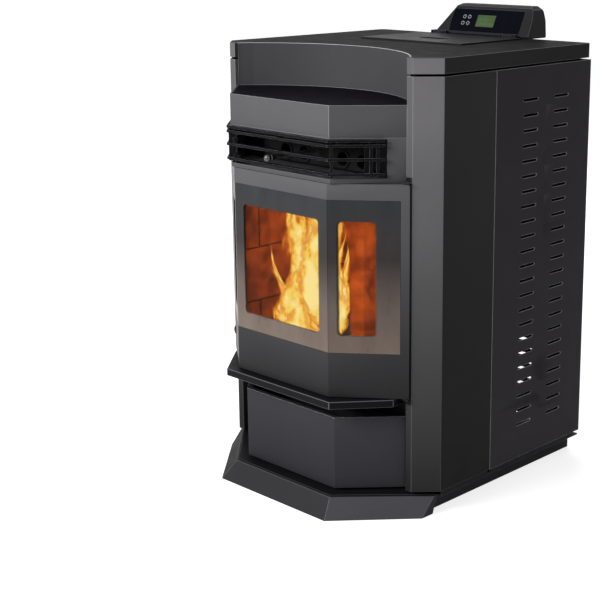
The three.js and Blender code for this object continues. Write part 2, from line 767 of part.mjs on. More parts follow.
function buildFeed() {
  const length = augerHigh.distanceTo(augerLow);
  const clearOfTube = rod(augerPoint(-10), augerPoint(length + 10), augerRadius + gap, wheelSides);

  const wall = 2;
  const throat = [-28, 28, 328, 384];
  const bin = rectangle(-hopperHalf, hopperHalf, hopperFront, hopperRear);
  const neck = rectangle(...throat);
  const throatPoint = [[328, 500], [328, 475], [384, 440], [384, 500]];
  const outside = joined([
    box(-hopperHalf, hopperHalf, hopperFront, hopperRear, hopperFunnelTop, topHeight - 2.5),
    loft(neck, 500, bin, hopperFunnelTop),
    prismX(throatPoint, -28, 28),
    box(-132, 132, hopperFront - 6, hopperRear + 6, topHeight - 4.5, topHeight - 2.5),
  ]);
  const binIn = rectangle(
    -hopperHalf + wall, hopperHalf - wall, hopperFront + wall, hopperRear - wall,
  );
  const neckIn = rectangle(-26, 26, 330, 382);
  const inside = joined([
    box(-hopperHalf + wall, hopperHalf - wall, hopperFront + wall, hopperRear - wall,
      hopperFunnelTop - 0.5, topHeight),
    loft(neckIn, 499.5, binIn, hopperFunnelTop),
    box(-26, 26, 330, 382, 400, 500),
  ]);
  add("hopper", withCuts(outside, [inside, clearOfTube]), darkPaint);

  const tube = rod(augerPoint(0), augerPoint(length), augerRadius, wheelSides);
  const bore = rod(augerPoint(3), augerPoint(length - 3), augerRadius - 2.5, wheelSides);
  const inlet = box(-23, 23, 334, 378, 440, 520);
  const outlet = box(-20, 20, 232, 262, 440, 500);
  const shaftHole = rod(augerPoint(-5), augerPoint(length + 5), 6 + runningFit);
  add("auger_tube", withCuts(tube, [bore, inlet, outlet, shaftHole]), bareSteel);

  const screw = new THREE.Group();
  const flightStart = 8;
  const flight = helicalFlight(4, augerRadius - 5, 40, flightStart, length - 14, 3);
  const shaft = rod([0, 0, -22], [0, 0, length + 2], 6);
  screw.position.copy(augerLow);
  screw.quaternion.setFromUnitVectors(new THREE.Vector3(0, 0, 1), augerAxis);
  add("auger_screw", joined([flight, shaft]), bareSteel, screw);
  frame.add(screw);

  const motor = new THREE.Group();
  motor.position.copy(augerLow);
  motor.quaternion.copy(screw.quaternion);
  const gearbox = box(-28, 28, -25, 25, -24, -gap);
  const can = rod([0, 0, -44], [0, 0, -23], 22, wheelSides);
  const motorBore = rod([0, 0, -23], [0, 0, 1], 6 + runningFit);
  add("auger_motor", withCuts(joined([gearbox, can]), [motorBore]), blackPaint, motor);
  frame.add(motor);

  const chuteOut = prismX([chuteFoot, chuteHead, [225, 501], [138, 424]], -27, 27);
  const chuteIn = prismX([[137, 368], [263, 473.5], [225, 498.5], [137, 421]], -25, 25);
  add("pellet_chute", withCuts(chuteOut, [chuteIn, clearOfTube]), darkPaint);
}

// ---------- blowers, ducts and pipes ----------
function volute(centreY, centreZ, start, growth, direction) {
  const steps = 18;
  return Array.from({ length: steps }, (_, i) => {
    const turn = (2 * Math.PI * i) / steps;
    const r = start + (growth * i) / (steps - 1);
    return [centreY + direction * r * Math.cos(turn), centreZ + r * Math.sin(turn)];
  });
}

function bladedWheel(radius, width, hub, blades, depth) {
  const disc = rod([0, 0, 0], [2, 0, 0], radius, wheelSides);
  const rim = rod([width - 3, 0, 0], [width, 0, 0], radius, wheelSides);
  const rimHole = rod([width - 4, 0, 0], [width + 1, 0, 0], radius - depth, wheelSides);
  const boss = rod([-4, 0, 0], [width * 0.5, 0, 0], hub);
  const vanes = Array.from({ length: blades }, (_, i) => {
    const vane = new THREE.BoxGeometry(width - 2, depth - 1, 1.6);
    vane.rotateX(0.6);
    vane.translate(width / 2, radius - depth / 2 - 0.8, 0);
    vane.rotateX((2 * Math.PI * i) / blades);
    return solid(vane);
  });
  return joined([disc, withCuts(rim, [rimHole]), boss, ...vanes]);
}

function buildAir() {
  const x0 = 66;
  const x1 = 144;
  const outerScroll = prismX(volute(blowerY, blowerZ, 70, 10, 1), x0, x1);
  const innerScroll = prismX(volute(blowerY, blowerZ, 68, 10, 1), x0 + 2, x1 - 2);
  const outletOut = box(x0, x1, 196, 236, blowerZ, 246);
  const outletIn = box(x0 + 2, x1 - 2, 198, 234, blowerZ, 247);
  const inlet = rod([x1 - 5, blowerY, blowerZ], [x1 + 5, blowerY, blowerZ], 44, wheelSides);
  const shaftPort = rod([x0 - 5, blowerY, blowerZ], [x0 + 5, blowerY, blowerZ], 6);
  add("convection_housing", withCuts(joined([outerScroll, outletOut]),
    [innerScroll, outletIn, inlet, shaftPort]), darkPaint);

  const wheel = new THREE.Group();
  wheel.position.set(x0 + 8, blowerY, blowerZ);
  const spindle = rod([-22, 0, 0], [2, 0, 0], 4);
  add("convection_wheel", joined([bladedWheel(58, 58, 9, 16, 12), spindle]), bareSteel, wheel);
  frame.add(wheel);

  const can = rod([x0 - 46, blowerY, blowerZ], [x0 - gap, blowerY, blowerZ], 32, wheelSides);
  const canBore = rod([x0 - 16, blowerY, blowerZ], [x0 + 1, blowerY, blowerZ], 4 + runningFit);
  const foot = box(x0 - 44, x0 - 10, blowerY - 20, blowerY + 20, baseTop, blowerZ - 20);
  add("convection_motor", withCuts(joined([can, foot]), [canBore]), blackPaint);

  const riserOut = box(x0, 150, 196, 236, 246 + gap, headerBottom + 2);
  const riserIn = box(x0 + 2, 148, 198, 234, 245, headerBottom + 4);
  const headOut = box(-152, 152, 193.6 + gap, 236, headerBottom - 4, headerTop + 4);
  const headIn = box(-150, 150, 190, 234, headerBottom - 2, headerTop + 2);
  add("air_duct", withCuts(joined([riserOut, headOut]), [riserIn, headIn]), bareSteel);

  const e0 = -145;
  const e1 = -95;
  const exhaustOut = prismX(volute(blowerY, blowerZ, 68, 9, -1).reverse(), e0, e1);
  const exhaustIn = prismX(volute(blowerY, blowerZ, 66, 9, -1).reverse(), e0 + 2, e1 - 2);
  const hornOut = box(e0, e1, blowerY, 400, 180, 226);
  const hornIn = box(e0 + 2, e1 - 2, blowerY, 401, 182, 224);
  const flangeOut = box(flueX - 48, flueX + 48, 397, 400, flueZ - 48, flueZ + 48);
  const eye = rod([e0 - 5, blowerY, blowerZ], [e0 + 5, blowerY, blowerZ], 34, wheelSides);
  const bearing = rod([e1 - 5, blowerY, blowerZ], [e1 + 5, blowerY, blowerZ], 6);
  add("exhaust_housing", withCuts(joined([exhaustOut, hornOut, flangeOut]),
    [exhaustIn, hornIn, eye, bearing]), castIron);

  const impeller = new THREE.Group();
  impeller.position.set(e1 - 8, blowerY, blowerZ);
  impeller.rotation.z = Math.PI;
  const paddle = Array.from({ length: 8 }, (_, i) => {
    const blade = new THREE.BoxGeometry(28, 46, 2);
    blade.translate(16, 30, 0);
    blade.rotateX((2 * Math.PI * i) / 8);
    return solid(blade);
  });
  const backDisc = rod([0, 0, 0], [2.5, 0, 0], 54, wheelSides);
  const hub = rod([-22, 0, 0], [24, 0, 0], 4);
  const boss = rod([0, 0, 0], [22, 0, 0], 9);
  add("exhaust_impeller", joined([backDisc, hub, boss, ...paddle]), bareSteel, impeller);
  frame.add(impeller);

  const exhaustCan = rod([e1 + gap, blowerY, blowerZ], [e1 + 50, blowerY, blowerZ], 30, wheelSides);
  const exhaustBore = rod([e1 - 1, blowerY, blowerZ], [e1 + 20, blowerY, blowerZ], 4 + runningFit);
  const exhaustFoot = box(e1 + 8, e1 + 42, blowerY - 20, blowerY + 20, baseTop, blowerZ - 20);
  add("exhaust_motor", withCuts(joined([exhaustCan, exhaustFoot]), [exhaustBore]), blackPaint);

  const flue = rod([flueX, 400 + gap, flueZ], [flueX, rearReach, flueZ], flueRadius, pipeSides);
  const flueBore = rod([flueX, 390, flueZ], [flueX, rearReach + 5, flueZ], flueRadius - 2, pipeSides);
  const flueFlange = box(flueX - 48, flueX + 48, 400 + gap, 403, flueZ - 48, flueZ + 48);
  add("flue_outlet", withCuts(joined([flue, flueFlange]), [flueBore]), bareSteel);

  const intake = rod([intakeX, fireboxRear - plate - 2, intakeZ], [intakeX, intakeEnd, intakeZ],
    intakeRadius, pipeSides);
  const intakeBore = rod([intakeX, 150, intakeZ], [intakeX, intakeEnd + 10, intakeZ], intakeRadius - 2,
    pipeSides);
  const collar = rod([intakeX, casingDepth + gap, intakeZ], [intakeX, casingDepth + 4, intakeZ],
    32, pipeSides);
  add("air_intake_pipe", withCuts(joined([intake, collar]), [intakeBore]), bareSteel);

  const inletBody = box(171 + gap, 219 - gap, casingDepth - 25, casingDepth + 1, 61 + gap, 89 - gap);
  const inletFlange = box(164, 226, casingDepth + gap, casingDepth + 3, 56, 94);
  const inletWell = box(176, 214, casingDepth - 17, casingDepth + 4, 66, 84);
  const pins = [-10, 0, 10].map((x) => box(193.5 + x, 196.5 + x, casingDepth - 18, casingDepth - 3,
    73, 78));
  add("power_inlet", joined([withCuts(joined([inletBody, inletFlange]), [inletWell]), ...pins]),
    blackPlastic);
}

// ---------- console ----------
function buildConsole() {
  const bottom = topHeight;
  const top = topHeight + consoleHeight;
  const faceFoot = [consoleFront, bottom + 4];
  const faceHead = [consoleFront + 26, top - 6];
  const side = [
    [consoleFront + 4, bottom], [rearReach - 2, bottom], [rearReach, bottom + 3],
    [rearReach, top - 12], [rearReach - 6, top], [faceHead[0] + 8, top], [faceHead[0], top - 4],
    faceHead, faceFoot,
  ];
  const block = prismX(side, consoleX - consoleHalf, consoleX + consoleHalf);
  const outline = [
    [consoleX - consoleHalf, bottom], [consoleX + consoleHalf, bottom],
    [consoleX + consoleHalf - 2, bottom + 34], [consoleX + consoleHalf - 8, top - 7],
    [consoleX + consoleHalf - 18, top], [consoleX - consoleHalf + 48, top],
    [consoleX - consoleHalf + 40, top - 5],
  ];
  const silhouette = prismY(outline, consoleFront - 5, rearReach + 5);
  const housing = block.intersect(silhouette);

  const run = Math.hypot(faceHead[0] - faceFoot[0], faceHead[1] - faceFoot[1]);
  const lean = Math.atan2(faceHead[0] - faceFoot[0], faceHead[1] - faceFoot[1]);
  const face = new THREE.Group();
  face.position.set(consoleX, faceFoot[0], faceFoot[1]);
  face.rotation.x = Math.PI / 2 - lean;
  frame.add(face);
  const onFace = new THREE.Matrix4().compose(
    face.position,
    new THREE.Quaternion().setFromEuler(face.rotation),
    new THREE.Vector3(1, 1, 1),
  );
  // On the face's own frame X runs across, Y up the slope and Z out of the housing.
  const faceBox = (xa, xb, ya, yb, za, zb) => {
    const made = new THREE.BoxGeometry(xb - xa, yb - ya, zb - za);
    made.translate((xa + xb) / 2, (ya + yb) / 2, (za + zb) / 2);
    return made;
  };
  const panelX0 = -84;
  const panelX1 = 96;
  const panelY0 = 5;
  const panelY1 = run - 5;
  const recess = solid(faceBox(panelX0 - gap, panelX1 + gap, panelY0 - gap, panelY1 + gap, -9, 5)
    .applyMatrix4(onFace));
  add("console_housing", withCuts(housing, [recess]), blackPlastic);

  const buttonRadius = 4.2;
  const buttonX = [-52, -39];
  const buttonY = [run / 2 - 7, run / 2 + 7];
  const places = buttonX.flatMap((x) => buttonY.map((y) => [x, y]));
  const windowBox = [-20, 27, run / 2 - 13, run / 2 + 13];
  const panel = solid(faceBox(panelX0, panelX1, panelY0, panelY1, -3.5, -0.5));
  const holes = places.map(([x, y]) => rod([x, y, -6], [x, y, 2], buttonRadius + 0.4, wheelSides));
  const lensHole = solid(faceBox(windowBox[0], windowBox[1], windowBox[2], windowBox[3], -5, 2));
  add("console_face", withCuts(panel, [...holes, lensHole]), glossPanel, face);

  const lens = solid(faceBox(windowBox[0] + gap, windowBox[1] - gap, windowBox[2] + gap,
    windowBox[3] - gap, -4, -1));
  add("display_lens", lens, greenDisplay, face);

  places.forEach(([x, y], i) => {
    const cap = rod([x, y, -4.5], [x, y, 1.5], buttonRadius, wheelSides);
    const foot = rod([x, y, -6.5], [x, y, -4.4], buttonRadius + 1.5, wheelSides);
    add("button_" + (i + 1), joined([cap, foot]), silverPlastic, face);
  });
}

// ---------- hopper lid ----------
function buildLid() {
  const lidBottom = topHeight + gap;
  const skin = 2;
  const lidTop = lidBottom + 2.6;
  const hingeAxisZ = topHeight + 5;
  const hingeAxisY = lidRear + 7;
  const sheetPart = box(-lidHalf, lidHalf, lidFront, lidRear, lidTop - skin, lidTop);
  const edges = joined([
    box(-lidHalf, lidHalf, lidFront, lidFront + skin, lidBottom, lidTop),
    box(-lidHalf, lidHalf, lidRear - skin, lidRear, lidBottom, lidTop),
    box(-lidHalf, -lidHalf + skin, lidFront, lidRear, lidBottom, lidTop),
    box(lidHalf - skin, lidHalf, lidFront, lidRear, lidBottom, lidTop),
  ]);
  const cupHole = prism(slotOutline(0, 322, 76, 26), lidTop - 12, lidTop + 1);
  const cupOut = prism(slotOutline(0, 322, 80, 30), lidTop - 14, lidTop - 0.5);
  const knuckles = [-90, 90].flatMap((x) => [
    rod([x - 12, hingeAxisY, hingeAxisZ], [x + 12, hingeAxisY, hingeAxisZ], 4),
    box(x - 12, x + 12, lidRear - 1, hingeAxisY, hingeAxisZ - 4.2, hingeAxisZ - 2.2),
  ]);
  const bores = [-90, 90].map((x) => {
    return rod([x - 20, hingeAxisY, hingeAxisZ], [x + 20, hingeAxisY, hingeAxisZ], 2.5, boltSides);
  });
  add("hopper_lid", withCuts(joined([sheetPart, edges, cupOut, ...knuckles]),
    [cupHole, ...bores]), darkPaint);

  [-90, 90].forEach((x, i) => {
    const pin = rod([x - 20, hingeAxisY, hingeAxisZ], [x + 20, hingeAxisY, hingeAxisZ], 2, boltSides);
    const ears = [-1, 1].map((side) => {
      const a = x + side * 12.5;
      const b = x + side * 20;
      return box(Math.min(a, b), Math.max(a, b), hingeAxisY - 3, hingeAxisY + 3, topHeight,
        hingeAxisZ + 3);
    });
    add("lid_hinge_" + (i === 0 ? "left" : "right"), joined([pin, ...ears]), blackPaint);
  });
}

// ---------- fire door ----------
const doorLine = bayPath(doorHalfCentre, doorFront, doorEdgeX, doorEdgeY);
const ringHalf = stripInner - 4;

function doorBlock(z0, z1) {
  return prism([
    ...doorLine, [doorEdgeX - 3.7, doorEdgeY + 3.6], [ringHalf, doorEdgeY + 3.6],
    [ringHalf, doorRearRing], [-ringHalf, doorRearRing], [-ringHalf, doorEdgeY + 3.6],
    [-doorEdgeX + 3.7, doorEdgeY + 3.6],
  ], z0, z1);
}

function doorFacetDepth(x) {
  const slope = (doorEdgeY - doorFront) / (doorEdgeX - doorHalfCentre);
  return doorFront + (Math.abs(x) - doorHalfCentre) * slope;
}

function buildDoor() {
  const innerLine = offsetPath(doorLine, doorSheet);
  const solidEdge = fromSide(57);
  const cavity = prism([
    [-solidEdge + 3, doorFacetDepth(solidEdge) + 8], ...innerLine.slice(1, 3),
    [solidEdge - 3, doorFacetDepth(solidEdge) + 8], [solidEdge - 3, doorRearRing - 3],
    [-solidEdge + 3, doorRearRing - 3],
  ], doorBottom + plate, doorTop - plate);
  const rearMouth = box(-172, 172, doorRearRing - 6, doorRearRing + 2, 240, 592);
  const glazing = prism([
    ...bayPath(doorHalfCentre, doorFront, glassEdgeX, doorFacetDepth(glassEdgeX)),
    [glassEdgeX - 12, doorFacetDepth(glassEdgeX) + 14],
    ...offsetPath(doorLine, doorSheet + 9).slice(1, 3).reverse(),
    [-glassEdgeX + 12, doorFacetDepth(glassEdgeX) + 14],
  ], glassBottom - gap, glassTop + gap);
  const glazingFront = prism([
    ...offsetPath(bayPath(doorHalfCentre, doorFront, glassEdgeX, doorFacetDepth(glassEdgeX)), -5),
    ...bayPath(doorHalfCentre, doorFront, glassEdgeX, doorFacetDepth(glassEdgeX)).reverse()
      .map(([x, y]) => [x, y + 0.2]),
  ], glassBottom - gap, glassTop + gap);
  const latchBoss = rod([slotX, doorFacetDepth(slotX) + 4, latchZ], [slotX, doorRearRing - 1, latchZ],
    11, wheelSides);
  const latchBore = rod([slotX, doorFacetDepth(slotX) - 12, latchZ],
    [slotX, doorRearRing + 2, latchZ], 6 + gap, wheelSides);
  const pinHoles = [[doorBottom - 1, doorBottom + 16], [doorTop - 16, doorTop + 1]].map(([a, b]) => {
    return rod([hingeX, hingeY, a], [hingeX, hingeY, b], hingePinRadius + gap);
  });
  const shell = withCuts(doorBlock(doorBottom, doorTop), [cavity, rearMouth, glazing, glazingFront]);
  add("door_frame", withCuts(joined([shell, latchBoss]), [latchBore, ...pinHoles]), greyPaint);

  const outer = offsetPath(doorLine, gap);
  const inner = offsetPath(doorLine, gap + glassThickness);
  const centre = prism([
    [-outer[2][0] + 0.2, outer[2][1]], [outer[2][0] - 0.2, outer[2][1]],
    [inner[2][0] - 0.2, inner[2][1]], [-inner[2][0] + 0.2, inner[2][1]],
  ], glassBottom, glassTop);
  add("glass_centre", centre, ceramicGlass);
  [-1, 1].forEach((side) => {
    const reach = (glassEdgeX - gap - doorHalfCentre) / (doorEdgeX - doorHalfCentre);
    const along = (path) => [
      path[2][0] + (path[3][0] - path[2][0]) * reach,
      path[2][1] + (path[3][1] - path[2][1]) * reach,
    ];
    const shift = 0.2;
    const outline = [
      [outer[2][0] + shift, outer[2][1] + shift], along(outer), along(inner),
      [inner[2][0] + shift, inner[2][1] + shift],
    ].map(([x, y]) => [side * x, y]);
    const pane = prism(side > 0 ? outline : outline.reverse(), glassBottom, glassTop);
    add(side > 0 ? "glass_right" : "glass_left", pane, ceramicGlass);
  });

  const retainerOuter = gap + glassThickness + gap;
  const endX = fromSide(61);
  const retainerLine = bayPath(doorHalfCentre, doorFront, endX, doorFacetDepth(endX));
  const retainer = prism(band(retainerLine, retainerOuter, retainerOuter + 2),
    glassBottom + 2, glassTop - 2);
  const windowCentre = box(20 - doorHalfCentre, doorHalfCentre - 20, -120, -40, windowBottom, windowTop);
  const windowSides = [-1, 1].map((side) => {
    const near = side * (doorHalfCentre + 10);
    const far = side * (glassEdgeX - 29);
    return box(Math.min(near, far), Math.max(near, far), -120, 20, windowBottom, windowTop);
  });
  add("glass_retainer", withCuts(retainer, [windowCentre, ...windowSides]), blackPaint);

  const rope = box(-190, 190, doorRearRing + gap, frameFront - gap, 229, 603);
  const ropeHole = box(-178, 178, doorRearRing - 1, frameFront + 1, 236, 596);
  add("door_gasket", withCuts(rope, [ropeHole]), glassRope);

  const spindle = rod([slotX, doorFacetDepth(slotX) + 6, latchZ], [slotX, frameRear + 6, latchZ],
    6, wheelSides);
  const socket = rod([slotX, doorFacetDepth(slotX), latchZ], [slotX, doorFacetDepth(slotX) + 16,
    latchZ], 4, 6);
  const cam = box(slotX - 6, slotX + 6, frameRear + 0.8, frameRear + 4, latchZ - 6, latchZ + 19);
  add("door_latch", joined([withCuts(spindle, [socket]), cam]), bareSteel);

  [["hinge_bracket_lower", doorBottom - 0.5, -1], ["hinge_bracket_upper", doorTop + 0.5, 1]]
    .forEach(([name, near, away]) => {
      const span = (a, b) => [Math.min(a, b), Math.max(a, b)];
      const leaf = box(stripInner + 1, stripOuter - 1, -1.8, 0, ...span(near, near + away * 12));
      const lug = box(stripInner + 1, stripOuter - 1, hingeY - 5, -1, ...span(near, near + away * 3));
      const pinSpan = span(near + away * 2, near - away * 14);
      const pin = rod([hingeX, hingeY, pinSpan[0]], [hingeX, hingeY, pinSpan[1]], hingePinRadius);
      add(name, joined([leaf, lug, pin]), blackPaint);
    });
}

// ---------- ash lip and ash drawer ----------
function buildAsh() {
  const lipHalf = fromSide(61);
  const lipCentre = fromSide(135);
  const lipLine = [
    [-lipHalf, -22], [6 - lipHalf, -31], [-lipCentre, -110], [lipCentre, -110], [lipHalf - 6, -31],
    [lipHalf, -22],
  ];
  const backY = frameFront - gap;
  const lipOut = prism([...lipLine, [lipHalf, -10], [lipHalf - 6, backY], [6 - lipHalf, backY],
    [-lipHalf, -10]],
    lipBottom, lipTop);
  const lipIn = prism([[3 - lipHalf, -20], [2 - lipCentre, -107], [lipCentre - 2, -107], [lipHalf - 3, -20],
    [lipHalf - 9, backY - 2], [9 - lipHalf, backY - 2]], lipBottom - 1, lipTop - 2);
  add("ash_lip", withCuts(lipOut, [lipIn]), blackPaint);

  const ashEdgeY = facetDepth(ashHalfCentre, ashFront, ashEdgeX, bayAngle);
  const line = bayPath(ashHalfCentre, ashFront, ashEdgeX, ashEdgeY);
  const rear = frameFront - gap;
  const front = prism(band(line, 0, 2), ashBottom, ashTop);
  const floor = prism([...offsetPath(line, 1), [ashEdgeX - 2, rear], [-ashEdgeX + 2, rear]],
    ashBottom, ashBottom + 2);
  const lipFold = prism(band(line, 0, 9), ashTop - 2, ashTop)
    .subtract(box(-ashEdgeX, ashEdgeX, rear, rear + 20, ashTop - 5, ashTop + 5));
  const back = box(-ashEdgeX + 2, ashEdgeX - 2, rear - 2, rear, ashBottom, ashTop - 10);
  add("ash_drawer_front", joined([front, floor, lipFold, back]), greyPaint);

  const panBottom = 45 + gap;
  const pan = box(-panHalf, panHalf, rear + gap, 186, panBottom, panTop);
  const panIn = box(-panHalf + 1.5, panHalf - 1.5, rear + gap + 1.5, 184.5, panBottom + 1.5,
    panTop + 1);
  add("ash_pan", withCuts(pan, [panIn]), blackPaint);
}

buildBase();
buildCasing();
buildBay();
buildFirebox();
buildExchanger();
buildFeed();
buildAir();
buildConsole();
buildLid();
buildDoor();
buildAsh();

// The stove's origin is under the middle of its whole length, on the floor.
const skirtReach = -127.5;
frame.position.y = -(skirtReach + rearReach) / 2;

export default stove;
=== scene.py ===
"""Looks of a free-standing pellet stove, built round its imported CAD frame.

Metres, +Z up, front at -Y.
"""
import json
import math

import bmesh
import bpy
from mathutils import Matrix, Vector

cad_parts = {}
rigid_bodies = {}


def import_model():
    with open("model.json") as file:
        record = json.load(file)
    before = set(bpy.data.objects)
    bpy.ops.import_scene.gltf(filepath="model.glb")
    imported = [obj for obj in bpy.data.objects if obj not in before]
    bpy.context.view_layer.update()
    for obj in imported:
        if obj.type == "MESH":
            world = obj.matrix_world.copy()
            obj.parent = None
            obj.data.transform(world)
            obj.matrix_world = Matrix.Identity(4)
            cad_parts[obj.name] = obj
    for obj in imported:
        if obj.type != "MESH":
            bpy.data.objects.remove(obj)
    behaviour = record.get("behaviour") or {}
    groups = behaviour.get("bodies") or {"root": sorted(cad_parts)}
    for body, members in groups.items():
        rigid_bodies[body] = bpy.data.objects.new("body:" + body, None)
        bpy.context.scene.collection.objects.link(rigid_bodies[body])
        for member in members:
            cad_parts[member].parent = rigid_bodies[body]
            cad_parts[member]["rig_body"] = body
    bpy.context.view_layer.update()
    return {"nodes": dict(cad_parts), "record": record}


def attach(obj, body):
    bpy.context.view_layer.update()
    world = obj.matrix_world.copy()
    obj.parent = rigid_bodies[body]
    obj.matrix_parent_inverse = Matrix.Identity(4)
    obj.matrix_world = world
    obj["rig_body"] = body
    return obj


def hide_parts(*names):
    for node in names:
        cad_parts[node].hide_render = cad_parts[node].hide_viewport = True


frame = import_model()
NODES = frame["nodes"]

# ---------- the stove's own measures ----------
POST_PLANE = -0.190             # Y of the two front posts' faces
STOVE_HEIGHT = 0.822
DOOR_FRONT = POST_PLANE - 0.0936
GLASS_TOP, GLASS_BOTTOM = 0.578, 0.303
WINDOW_TOP, WINDOW_BOTTOM = 0.541, 0.334
WINDOW_HALF = 0.099             # half width of the clear field in the middle pane
SIDE_CLEAR = (0.1335, 0.1885)   # X of the clear field in each side pane
WINDOW_CORNER = 0.008
REAR_FACE = 0.275               # outside of the rear panel
DRAWER_TOP = 0.1765
KNOB_Y = POST_PLANE - 0.1097
MOUTH_Y = POST_PLANE + 0.0165   # the heat tubes open here, behind the grille
PAINTED_GLOW_CENTRE = (0.07, -0.10, 0.48)   # the bricks' painted glow is brightest here and dims away from this point
FIRE_CEILING = 0.584            # the flames spread under the firebox's top
POT_CENTRE = Vector((0.0, -0.078, 0.292))
POT_MOUTH = 0.046               # how far from its centre the pot lets flames out
IGNITER = (0.0, 0.0, 0.285)
FLUE = (-0.120, 0.0, 0.203)
INTAKE = (-0.040, 0.0, 0.252)
PULL_ROD = (-0.010, 0.0, 0.638)
FAN_Y, FAN_Z = 0.086, 0.150     # the axis of both fans and their motors
BUTTON_OUT = Vector((0.0, -52.0, 26.0)).normalized()   # out of the console's face
SLOT_ROWS = 23                  # louvre slots in one column
LOWEST_GAP, SLOT_PITCH = 0.0964, 0.0282   # Z below the first slot, and from slot to slot
COLUMN_GAP = 0.1355             # Y between the two columns of slots
ALONG_X, ALONG_Y, ALONG_Z = (1, 0, 0), (0, 1, 0), (0, 0, 1)
ORIGIN = (0, 0, 0)
VIEW_TURN = math.radians(43)    # the photograph looks at the stove from this far to the right
TUBES = [(n * 0.050, 0.664) for n in (-2.5, -1.5, -0.5, 0.5, 1.5, 2.5)]
TUBES += [(n * 0.050, 0.628) for n in (-2, -1, 1, 2)]


# ---------- node trees ----------
class Tree:
    """Adds nodes to one material, world or geometry tree and joins them."""

    def __init__(self, tree):
        self.tree = tree
        tree.nodes.clear()

    def add(self, kind, inputs=None, **settings):
        node = self.tree.nodes.new(kind)
        for key, value in settings.items():
            setattr(node, key, value)
        for key, value in (inputs or {}).items():
            self.feed(node.inputs[key], value)
        return node

    def feed(self, socket, value):
        if isinstance(value, bpy.types.Node):
            value = value.outputs[0]
        if isinstance(value, bpy.types.NodeSocket):
            self.tree.links.new(value, socket)
        else:
            socket.default_value = value

    def maths(self, operation, a, b=0.0):
        return self.add("ShaderNodeMath", {0: a, 1: b}, operation=operation)

    def plus(self, a, b):
        return self.maths("ADD", a, b)

    def minus(self, a, b):
        return self.maths("SUBTRACT", a, b)

    def times(self, a, b):
        return self.maths("MULTIPLY", a, b)

    def spread(self, value, low, high, to_low, to_high, smooth=False):
        kind = "SMOOTHSTEP" if smooth else "LINEAR"
        ends = {"From Min": low, "From Max": high, "To Min": to_low, "To Max": to_high}
        return self.add("ShaderNodeMapRange", {"Value": value, **ends}, interpolation_type=kind)

    def place(self):
        return self.add("ShaderNodeTexCoord").outputs["Object"]

    def split(self, vector):
        return self.add("ShaderNodeSeparateXYZ", {0: vector}).outputs

    def noise(self, where, scale, detail=2.0, rough=0.5, stretch=None):
        if stretch:
            where = self.add("ShaderNodeMapping", {"Vector": where, "Scale": stretch})
        values = {"Vector": where, "Scale": scale, "Detail": detail, "Roughness": rough}
        return self.add("ShaderNodeTexNoise", values).outputs[0]

    def scaled(self, colour, factor):
        if isinstance(colour, tuple):
            colour = colour[:3]
        return self.add("ShaderNodeVectorMath", {0: colour, "Scale": factor}, operation="SCALE")

    def blend(self, factor, a, b):
        node = self.add("ShaderNodeMix", {"Factor": factor, "A": a, "B": b}, data_type="RGBA")
        return node.outputs["Result"]

    def ramp(self, factor, first, *between_and_last):
        """Colours along 0 to 1. Each stop is (position, colour)."""
        node = self.add("ShaderNodeValToRGB", {"Fac": factor})
        stops = node.color_ramp.elements
        *between, last = between_and_last
        stops[0].position, stops[0].color = first
        stops[1].position, stops[1].color = last
        for position, colour in between:
            stops.new(position).color = colour
        return node.outputs["Color"]

    def bump(self, height, strength, distance, under=None):
        values = {"Height": height, "Strength": strength, "Distance": distance}
        if under is not None:
            values["Normal"] = under
        return self.add("ShaderNodeBump", values).outputs["Normal"]

    def end(self, shader):
        self.add("ShaderNodeOutputMaterial", {"Surface": shader})

    def surface(self, **values):
        """Ends a material in the principled shader. An underscore stands for a space."""
        named = {key.replace("_", " "): value for key, value in values.items()}
        self.end(self.add("ShaderNodeBsdfPrincipled", named))

    def copies(self, points, piece, turn, **more):
        """The piece on each point, as real geometry."""
        values = {"Points": points, "Instance": piece, "Rotation": turn, **more}
        placed = self.add("GeometryNodeInstanceOnPoints", values)
        return self.add("GeometryNodeRealizeInstances", {"Geometry": placed})

    def joined(self, *parts):
        node = self.add("GeometryNodeJoinGeometry")
        for part in parts:
            self.feed(node.inputs[0], part)
        return node

    def coated(self, geometry, material):
        return self.add("GeometryNodeSetMaterial", {"Geometry": geometry, "Material": material})


def finish_tree(name):
    material = bpy.data.materials.new(name)
    material.use_nodes = True
    return material, Tree(material.node_tree)


def rgb(r, g, b):
    return (r, g, b, 1.0)


def stove_paint(name, tone, rough, metal, shine, shade_fall=None, light_and_tone_bands=()):
    """Satin stove paint: fine metal flecks, orange peel and uneven gloss.

    shade_fall is (low, high, share at low, share at high): painted shade, the tone falls towards
    the floor.
    A band is (axis, from, to, share): the tone in it is multiplied by that share. Most of them are
    painted light and shade: lit bevels and faces lighter, faces in shade darker.
    """
    material, t = finish_tree(name)
    place = t.place()
    broad = t.spread(t.noise(place, 4.5, 3.0), 0.3, 0.7, 0.92, 1.08)
    flecks = t.spread(t.noise(place, 2300.0, 1.0), 0.3, 0.72, 0.84, 1.16)
    factor = t.times(broad, flecks)
    # painted shade: darker towards the floor
    if shade_fall:
        factor = t.times(factor, t.spread(t.split(place)["Z"], *shade_fall))
    # painted light and shade, by position or by the way a face looks
    for along, start, end, share in light_and_tone_bands:
        facing = along.startswith("facing")
        source = t.add("ShaderNodeTexCoord").outputs["Normal"] if facing else place
        spot = t.split(source)[along[-1]]
        within = t.times(t.maths("GREATER_THAN", spot, start), t.maths("LESS_THAN", spot, end))
        factor = t.times(factor, t.spread(within, 0.0, 1.0, 1.0, share))
    gloss = t.spread(t.noise(place, 28.0, 4.0, 0.6), 0.25, 0.75, rough - 0.06, rough + 0.08)
    t.surface(Base_Color=t.scaled(tone, factor), Roughness=gloss, Metallic=metal,
              Normal=t.bump(t.noise(place, 950.0, 2.0), 0.05, 0.0003), Specular_IOR_Level=shine)
    return material


